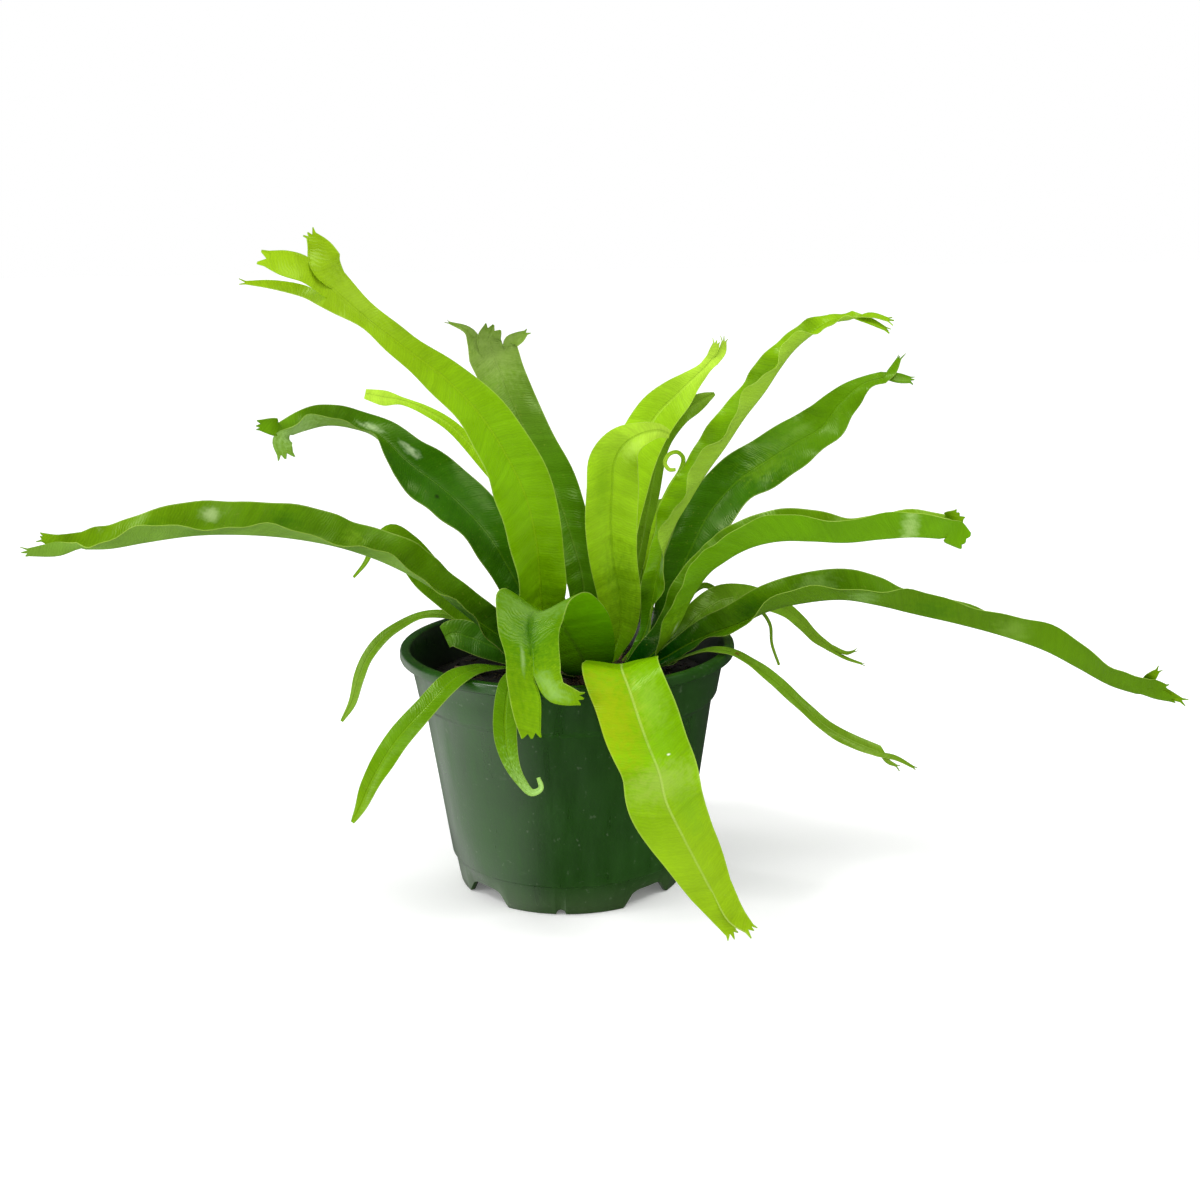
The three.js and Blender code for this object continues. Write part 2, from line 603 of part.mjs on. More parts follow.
function pot() {
  const inside = insideWall();
  const lipBottom = POT_HEIGHT - RIM_LIP_DROP;
  let body = turned(
    [
      [0, 0],
      [CHANNEL_INNER_RADIUS, 0],
      [CHANNEL_INNER_RADIUS + 2, CHANNEL_HEIGHT],
      [FOOT_RADIUS - FOOT_WIDTH - 0.6, CHANNEL_HEIGHT],
      [FOOT_RADIUS - FOOT_WIDTH, 0],
      [FOOT_RADIUS, 0],
      [BASE_BAND_RADIUS, BASE_LINE_HEIGHT - 0.8],
      [BODY_BOTTOM_RADIUS, BASE_LINE_HEIGHT],
      [BODY_TOP_RADIUS, COLLAR_BOTTOM - COLLAR_CHAMFER],
      [COLLAR_RADIUS, COLLAR_BOTTOM],
      [COLLAR_TOP_RADIUS, lipBottom - 0.6],
      [RIM_RADIUS - 0.8, lipBottom],
      [RIM_RADIUS, lipBottom + 0.9],
      [RIM_RADIUS, POT_HEIGHT - RIM_ROUND],
      [RIM_RADIUS - 0.5, POT_HEIGHT - 0.5],
      [RIM_RADIUS - RIM_ROUND, POT_HEIGHT],
      [OPENING_RADIUS + 1, POT_HEIGHT],
      ...inside.reverse(),
      [CHANNEL_INNER_RADIUS + 1, CHANNEL_HEIGHT + FLOOR],
      [CHANNEL_INNER_RADIUS - 1, FLOOR],
      [0, FLOOR],
    ],
    POT_SIDES,
  );
  for (let quarter = 0; quarter < 4; quarter++) {
    body = body.subtract(drainArch(ARCH_TURN + quarter * QUARTER_TURN));
    body = body.subtract(drainSlot(ARCH_TURN + quarter * QUARTER_TURN));
    body = body.subtract(drainNotch(NOTCH_TURN + quarter * QUARTER_TURN));
  }
  return mesh("pot", body, "pot");
}

// The crown, a low mound on a tapering rootstock, with every surface moved out by grow.
function crownBody(grow) {
  const rise = CROWN_TOP - CROWN_SHOULDER;
  const dome = [1, 0.8, 0.6, 0.4, 0.2].map((part) => [
    part * CROWN_RADIUS + grow,
    CROWN_TOP - rise * part * part + grow,
  ]);
  return turned(
    [
      [0, CROWN_FOOT - grow],
      [CROWN_FOOT_RADIUS + grow, CROWN_FOOT - grow],
      [CROWN_WAIST_RADIUS + grow, CROWN_WAIST],
      ...dome,
      [0, CROWN_TOP + grow],
    ],
    CROWN_SIDES,
  ).translate([CROWN_X, CROWN_Y, 0]);
}

function pottingMix() {
  const wall = insideWall().filter(([, height]) => height < MIX_HEIGHT);
  const inset = wall.map(([radius, height]) => [radius - GAP, height]);
  const edge = COLLAR_RADIUS - WALL - GAP;
  inset[0][1] += GAP;
  const body = turned(
    [
      [0, FLOOR + GAP],
      [CHANNEL_INNER_RADIUS - 1.4, FLOOR + GAP],
      [CHANNEL_INNER_RADIUS + 0.6, CHANNEL_HEIGHT + FLOOR + GAP],
      ...inset,
      [edge + 0.4, MIX_HEIGHT - MIX_SINK],
      [edge * 0.8, MIX_HEIGHT - 0.6],
      [edge * 0.4, MIX_HEIGHT],
      [0, MIX_HEIGHT],
    ],
    POT_SIDES,
  );
  return mesh("potting_mix", body.subtract(crownBody(GAP)), "mix");
}

// A dead stalk: a thin bent tube that lies on the potting mix.
function deadStalk(name, points, radius) {
  const path = new THREE.CatmullRomCurve3(points.map((point) => new THREE.Vector3(...point)));
  const section = new THREE.Shape();
  section.absarc(0, 0, radius, 0, Math.PI * 2);
  const geometry = new THREE.ExtrudeGeometry(section, {
    steps: 8,
    curveSegments: 4,
    extrudePath: path,
  });
  return mesh(name, solid(geometry), "stalk");
}

// The values at a station, between the entries on either side of it. An entry starts with its station.
function valuesAt(entries, station) {
  const next = entries.find(([at]) => at >= station) ?? entries.at(-1);
  const before = entries.findLast(([at]) => at <= station) ?? entries[0];
  const share = next[0] === before[0] ? 0 : (station - before[0]) / (next[0] - before[0]);
  return before.slice(1).map((value, i) => THREE.MathUtils.lerp(value, next[i + 1], share));
}

// The half width at a station, eased between the stations on either side.
function halfAt(spine, station) {
  const low = Math.min(Math.floor(station), spine.length - 2);
  const share = THREE.MathUtils.smoothstep(station - low, 0, 1);
  return THREE.MathUtils.lerp(spine[low][3], spine[low + 1][3], share);
}

// The rows of a strip: along its spine, each with a middle, the way across and the way it faces.
function stripRows(spine, faces) {
  const last = spine.length - 1;
  const curve = new THREE.CatmullRomCurve3(
    spine.map(([x, y, z]) => new THREE.Vector3(x, y, z)),
    false,
    "centripetal",
  );
  const count = Math.ceil(last * ROWS_PER_STATION);
  return Array.from({ length: count + 1 }, (_, row) => {
    const part = row / count;
    const station = part * last;
    const middle = curve.getPoint(part);
    const along = curve.getTangent(part);
    const face = new THREE.Vector3(...valuesAt(faces, station));
    const across = along.clone().cross(face).normalize();
    const up = across.clone().cross(along).normalize();
    return { part, station, middle, across, up, half: halfAt(spine, station) };
  });
}

// The points across one row of a strip, from one margin to the other. Its two halves rise from the
// midrib as the channel says, and the ripple stands at right angles to each half.
function rowPoints(row, columns, { ripple, channel }) {
  const [height, waves] = ripple;
  const sides = valuesAt(channel, row.station).map(radians);
  const sink = (Math.sin(sides[0]) + Math.sin(sides[1])) / 4;
  return Array.from({ length: columns + 1 }, (_, column) => {
    const place = (2 * column) / columns - 1;
    const slope = place < 0 ? sides[0] : sides[1];
    const margin = place * place * Math.min(1, row.half / FULL_RIPPLE_HALF);
    const lag = place > 0 ? RIPPLE_LAG : 0;
    const wave = height * margin * Math.sin(2 * Math.PI * waves * row.part + lag);
    const out = place * row.half * Math.cos(slope) - Math.sign(place) * Math.sin(slope) * wave;
    const lift = row.half * (Math.abs(place) * Math.sin(slope) - sink) + Math.cos(slope) * wave;
    return row.middle.clone().addScaledVector(row.across, out).addScaledVector(row.up, lift);
  });
}

// A crest lobe's rows after its root, turned so that they run across the same way as the root does.
function lobeRows(lobe, start, end, tipFace) {
  const root = start.clone().lerp(end, 0.5);
  const spine = [[root.x, root.y, root.z, start.distanceTo(end) / 2], ...lobe.spine];
  const rows = stripRows(spine, [[0, ...(lobe.face ?? tipFace)]]);
  if (rows[0].across.dot(end.clone().sub(start)) < 0) rows.forEach((row) => row.across.negate());
  return rows.slice(1);
}

// A strip's points and triangles: the blade, then its crest lobes, which share its last row.
function bladeSheet(frond) {
  const points = [];
  const triangles = [];
  const addRow = (row) => row.map((point) => points.push(point) - 1);
  const join = (near, far) => {
    for (let i = 0; i + 1 < near.length; i++) {
      triangles.push([near[i], near[i + 1], far[i + 1]], [near[i], far[i + 1], far[i]]);
    }
  };
  let row = null;
  for (const station of stripRows(frond.spine, frond.faces)) {
    const next = addRow(rowPoints(station, frond.columns, frond));
    if (row) join(row, next);
    row = next;
  }
  const tipFace = frond.faces.at(-1).slice(1);
  for (const lobe of frond.crest) {
    const [from, to] = [lobe.from * frond.columns, lobe.to * frond.columns];
    let edge = row.slice(from, to + 1);
    for (const station of lobeRows(lobe, points[edge[0]], points[edge.at(-1)], tipFace)) {
      const next = addRow(rowPoints(station, to - from, FLAT));
      join(edge, next);
      edge = next;
    }
  }
  return { points, triangles };
}

// The mean direction that the triangles round each point face.
function sheetNormals({ points, triangles }) {
  const normals = points.map(() => new THREE.Vector3());
  for (const [a, b, c] of triangles) {
    const first = points[b].clone().sub(points[a]);
    const normal = first.cross(points[c].clone().sub(points[a]));
    for (const corner of [a, b, c]) normals[corner].add(normal);
  }
  return normals.map((normal) => normal.normalize());
}

// A blade as a closed solid: an upper and a lower skin, joined round the margin.
function bladeSolid(frond) {
  const sheet = bladeSheet(frond);
  const normals = sheetNormals(sheet);
  const count = sheet.points.length;
  const bladeRows = Math.ceil((frond.spine.length - 1) * ROWS_PER_STATION) + 1;
  const positions = [];
  const half = BLADE_THICKNESS / 2;
  sheet.points.forEach((point, i) => positions.push(...point.clone().addScaledVector(normals[i], half)));
  sheet.points.forEach((point, i) => {
    const wide = frond.columns + 1;
    const onMidrib = i < bladeRows * wide && i % wide === frond.columns / 2;
    const depth = half + (onMidrib ? MIDRIB_DEPTH : 0);
    positions.push(...point.clone().addScaledVector(normals[i], -depth));
  });
  const index = [];
  const edges = new Set(sheet.triangles.flatMap(([a, b, c]) => [`${a},${b}`, `${b},${c}`, `${c},${a}`]));
  for (const [a, b, c] of sheet.triangles) {
    index.push(a, b, c, a + count, c + count, b + count);
    for (const [from, to] of [[a, b], [b, c], [c, a]]) {
      if (!edges.has(`${to},${from}`)) index.push(to, from, from + count, to, from + count, to + count);
    }
  }
  return new wasm.Manifold(
    new wasm.Mesh({
      numProp: 3,
      vertProperties: new Float32Array(positions),
      triVerts: new Uint32Array(index),
    }),
  );
}

const fern = new THREE.Group();
fern.name = "potted_crested_birds_nest_fern";
fern.add(pot());
fern.add(pottingMix());
fern.add(mesh("crown", crownBody(0), "crown"));
fern.add(deadStalk("dead_stalk_long", [[-57, 14, 103.9], [-50, 10, 104.2], [-41, 9, 104.4]], 0.8));
fern.add(deadStalk("dead_stalk_short", [[-60, -4, 103.6], [-55, -8, 103.9], [-51, -9, 104.1]], 0.7));

const crownSeat = crownBody(GAP);
for (const frond of FRONDS) {
  fern.add(mesh(frond.name, bladeSolid(frond).subtract(crownSeat), frond.material));
}

export default fern;
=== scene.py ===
"""Looks of a crested bird's nest fern in a round nursery pot.

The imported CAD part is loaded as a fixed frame. Every frond, the crown, the potting mix, the dead
stalks and the pot are then made again as finer meshes with procedural materials, each in the place
of its CAD node, and lit on a pale floor from the photograph's viewing angle.
"""
import math
import random

import bpy
import numpy as np
from bpy.props import FloatProperty, FloatVectorProperty, IntProperty, PointerProperty
from mathutils import Matrix, Vector, noise


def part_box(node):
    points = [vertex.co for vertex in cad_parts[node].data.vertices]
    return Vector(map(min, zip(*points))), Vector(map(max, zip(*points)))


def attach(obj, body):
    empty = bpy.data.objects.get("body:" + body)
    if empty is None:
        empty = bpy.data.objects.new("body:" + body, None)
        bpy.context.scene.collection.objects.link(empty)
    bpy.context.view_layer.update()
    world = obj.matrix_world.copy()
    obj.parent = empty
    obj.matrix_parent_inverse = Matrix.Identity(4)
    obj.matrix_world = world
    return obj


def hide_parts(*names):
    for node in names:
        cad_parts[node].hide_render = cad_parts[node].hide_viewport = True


bl_info = {
    "name": "Crested Bird's Nest Fern",
    "version": (1, 0, 0),
    "blender": (4, 5, 0),
    "location": "3D Viewport > Sidebar > Fern",
    "description": "Builds a potted crested bird's nest fern over its CAD frame",
    "category": "Add Mesh",
}

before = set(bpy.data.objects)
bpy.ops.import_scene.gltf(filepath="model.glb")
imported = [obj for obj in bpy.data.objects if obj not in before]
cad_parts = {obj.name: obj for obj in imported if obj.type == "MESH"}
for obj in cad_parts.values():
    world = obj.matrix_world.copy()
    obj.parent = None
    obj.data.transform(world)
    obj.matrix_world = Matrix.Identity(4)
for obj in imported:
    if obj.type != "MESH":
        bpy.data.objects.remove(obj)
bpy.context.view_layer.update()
BODY = "root"
MM = 0.001

# The pot, from the top of its node and the sizes of a six inch azalea pot, in millimetres.
POT_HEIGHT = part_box("pot")[1][2] / MM
RIM_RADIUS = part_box("pot")[1][0] / MM
OPENING_RADIUS = 77.4
LIP_DROP = 5.2
COLLAR_BOTTOM = 97
COLLAR_RADIUS = 74.2
COLLAR_TOP_RADIUS = 77.6
STEP_BOTTOM = 94
STEP_RADIUS = 71.6
BASE_LINE = 15.6
BAND_TOP = BASE_LINE - 1.4
BASE_LINE_RADIUS = 60.2
BASE_BAND_RADIUS = 58.8
FOOT_RADIUS = 56.2
FOOT_WIDTH = 2.6
WALL = 1.7
FLOOR = 2.2
CHANNEL_HEIGHT = 6.5
CHANNEL_RADIUS = 41
ARCH_TURN = -48
ARCH_HALF_WIDTH = 15
ARCH_HEIGHT = 7.6
ARCH_CROWN = 1.6
ARCH_FLAT = 0.3
ARCH_SHOULDER = 0.68
NOTCH_TURN = -95
NOTCH_RADIUS = 2.3
SLOT_RADII = (45.5, 51.5)
SLOT_HALF_TURN = 9

# How finely the pot is turned, in degrees: everywhere, and each side of an arch's or notch's middle.
QUARTER = 90
EVEN_TURN = 2
CLOSEST_TURNS = 0.2
FINE_TURNS = ((ARCH_TURN, 0.7, 23), (NOTCH_TURN, 0.35, 8))
POT_SHARP_EDGE = 38

# The potting mix and the crown, in millimetres.
MIX_HEIGHT = 103.5
MIX_SINK = 2.5
MIX_RADIUS = 72
MIX_RINGS = 46
MIX_SIDES = 160
MIX_LUMP = 1.5
MIX_NOISE_SEED = 3
MIX_WALL = [(71.6, 97), (69.4, 93.8), (64.2, 60), (56.7, 9.4)]
CROWN_MIDDLE = (14, -2)
CROWN_TOP = 113
CROWN_RADIUS = 25
CROWN_SHOULDER = 103
CROWN_RISE = CROWN_TOP - CROWN_SHOULDER
CROWN_STEM = [(13, 74), (17, 82), (21, 91), (24.2, 99), (24.8, CROWN_SHOULDER)]
CROWN_DOME = (0.93, 0.85, 0.75, 0.65, 0.55, 0.45, 0.35, 0.25, 0.15, 0.06)
CROWN_SIDES = 72

# What lies on the mix and the crown: how many, how large, how far from the pot's axis, and the angle
# in degrees over which an edge looks sharp. A chip's form is its size across, along and up.
CHIPS = 420
CHIP_SIZES = (0.7, 2.1)
CHIP_FORM = ((0.5, 1.2), (0.3, 0.8), (0.2, 0.4))
CHIP_SHARP_EDGE = 20
LITTER_REACH = 69
FIBRES = 90
FIBRE_LENGTHS = (4, 11)
FIBRE_PLACES = (10, 64)
FIBRE_STEPS = 5
FIBRE_SIDES = 4
FIBRE_RADIUS = 0.16
SCALES = 230
SCALE_LENGTHS = (2.2, 4.6)
SCALE_SHARP_EDGE = 30
SCALE_FACES = [
    (0, 1, 2, 3), (3, 2, 4), (6, 5, 8, 7), (7, 8, 9), (0, 3, 8, 5), (1, 6, 7, 2), (3, 4, 9, 8),
    (2, 7, 9, 4), (0, 5, 6, 1),
]
STALK_STEPS = 18
STALK_SIDES = 10
STALK_WRINKLE = 0.12

# The camera, placed so that the pot's rim and foot fall where the photograph has them.
PHOTO_WIDTH = 1200
CAMERA_PLACE = (0.008, -0.772, 0.326)
CAMERA_PITCH = 0.235
CAMERA_YAW = 0.011
CAMERA_ROLL = -0.014
FOCAL_PIXELS = 1612
SENSOR = 36

# The lights: how the key light shines and how wide it looks, in degrees, and for each softbox its
# place, what it looks at and its size, in metres.
KEY_DIRECTION = (0.6, 0.16, -0.95)
KEY_SPREAD = 16
SIDE_LIGHT = ((-1.3, -0.5, 0.5), (0, 0, 0.12), 0.5)
TOP_LIGHT = ((0.5, -0.35, 1.2), (0, 0, 0.15), 0.4)
FLOOR_REACH = 9
FLOOR_SINK = 0.0002
WHITE = (1, 1, 1, 1)

# The blade of every frond, in millimetres. Rows are the rows for each station of a spine.
ROWS_PER_STATION = 6
LOBE_ROWS_PER_STATION = 5
BLADE_HALF_THICKNESS = 0.34
MARGIN_HALF_THICKNESS = 0.16
KEEL_DEPTH = 0.55
KEEL_HALF_WIDTH = 0.9
MIDRIB_SOFTNESS = 0.03
FULL_RIPPLE_HALF = 6
RIPPLE_LAG = 1.9
SMALL_RIPPLE = 0.3
SMALL_RIPPLE_LAGS = (2, 4)
SMALL_RIPPLE_WAVES = (2.3, 2.9)
MARGIN_WAVES = (11, 29, 13, 31)
MARGIN_UNEVENNESS = 0.02
MARGIN_ROLL = 0.06
SHARP_EDGE = 50

# A crest lobe and the fingers of its fringe.
LOBE_TURN = 0.45
LOBE_BOW = 0.12
MOST_FINGERS = 3
FINGER_REACH = 1.7
FINGER_LENGTHS = (0.5, 1.2)
FINGER_SPREAD = 1.3
FINGER_SWAY = 0.25
FINGER_TAPER = 0.5
FINGER_STEPS = (0.4, 0.75, 1)
SMALLEST = 0.01

# A UV map holds the blade's own millimetres in this many at a time.
BLADE_MAP_UNIT = 100


def srgb(red, green, blue):
    """A colour written as the eye sees it, 0 to 255, as a linear one."""
    def linear(value):
        share = value / 255
        return share / 12.92 if share <= 0.04045 else ((share + 0.055) / 1.055) ** 2.4
    return (linear(red), linear(green), linear(blue), 1)


# The leaf colours: base, body and tip of the upper side.
LEAVES = {
    "lime": (srgb(104, 156, 0), srgb(116, 168, 0), srgb(138, 176, 16)),
    "pale": (srgb(90, 142, 2), srgb(146, 194, 20), srgb(166, 204, 56)),
    "mid": (srgb(4, 64, 0), srgb(84, 128, 0), srgb(108, 150, 2)),
    "deep": (srgb(0, 56, 0), srgb(70, 118, 0), srgb(104, 138, 40)),
    "olive": (srgb(20, 72, 0), srgb(92, 132, 16), srgb(104, 140, 28)),
    "bright": (srgb(60, 118, 0), srgb(112, 160, 0), srgb(128, 172, 10)),
    "shaded": (srgb(2, 44, 0), srgb(38, 84, 4), srgb(74, 118, 14)),
    "glossy": (srgb(4, 58, 0), srgb(52, 100, 0), srgb(90, 136, 4)),
}
UNDERSIDES = {
    "grey_green": srgb(108, 148, 44),
    "fresh_green": srgb(96, 148, 0),
    "light_green": srgb(146, 188, 44),
    "dull_green": srgb(84, 126, 0),
    "dark_green": srgb(112, 178, 0),
}
PLEAT_HEIGHT = 7
LEAF_RELIEF = 0.0002
LEAF_BASE_ENDS = (0.08, 0.34)
LEAF_TOP_GLOSS = 0.2
LEAF_UNDER_GLOSS = 0.15
LEAF_GLOSS_TINT = (0.8, 1, 0.4, 1)
PALE_MARGIN = srgb(176, 198, 96)
LEAF_SPECK = srgb(150, 160, 60)
KEEL_BROWN = srgb(96, 118, 50)

# What lightens and darkens the pot's plastic, the painted shade inside it, and its relief's depth in
# metres.
SCUFF = srgb(120, 140, 112)
FOOT_DUST = srgb(110, 112, 92)
POT_SPECK = srgb(150, 160, 140)
POT_INSIDE_SHADE = srgb(6, 12, 4)
POT_RELIEF = 0.00004

# The earthy finishes: dark and light colour, scale of the mottle and lowest roughness.
MOIST_LIGHT = srgb(34, 27, 18)
MOIST_SCALE = 60
EARTH_ROUGHNESS = 0.75
EARTH_RELIEF = 0.0008
EARTHS = {
    "bark_chips": (srgb(16, 12, 8), srgb(56, 42, 28), 90, EARTH_ROUGHNESS),
    "root_fibre": (srgb(48, 36, 22), srgb(92, 72, 46), 90, EARTH_ROUGHNESS),
    "rootstock": (srgb(30, 22, 12), srgb(78, 58, 34), 70, EARTH_ROUGHNESS),
    "crown_scales": (srgb(62, 42, 20), srgb(120, 88, 48), 110, 0.6),
    "dry_stalk": (srgb(96, 74, 44), srgb(186, 158, 108), 120, 0.6),
}

# The dead stalks: the points of each path and its radius, in millimetres.
DEAD_STALKS = {
    "dead_stalk_long": ([(-57, 14, 103.9), (-50, 10, 104.2), (-41, 9, 104.4)], 0.8),
    "dead_stalk_short": ([(-60, -4, 103.6), (-55, -8, 103.9), (-51, -9, 104.1)], 0.7),
}
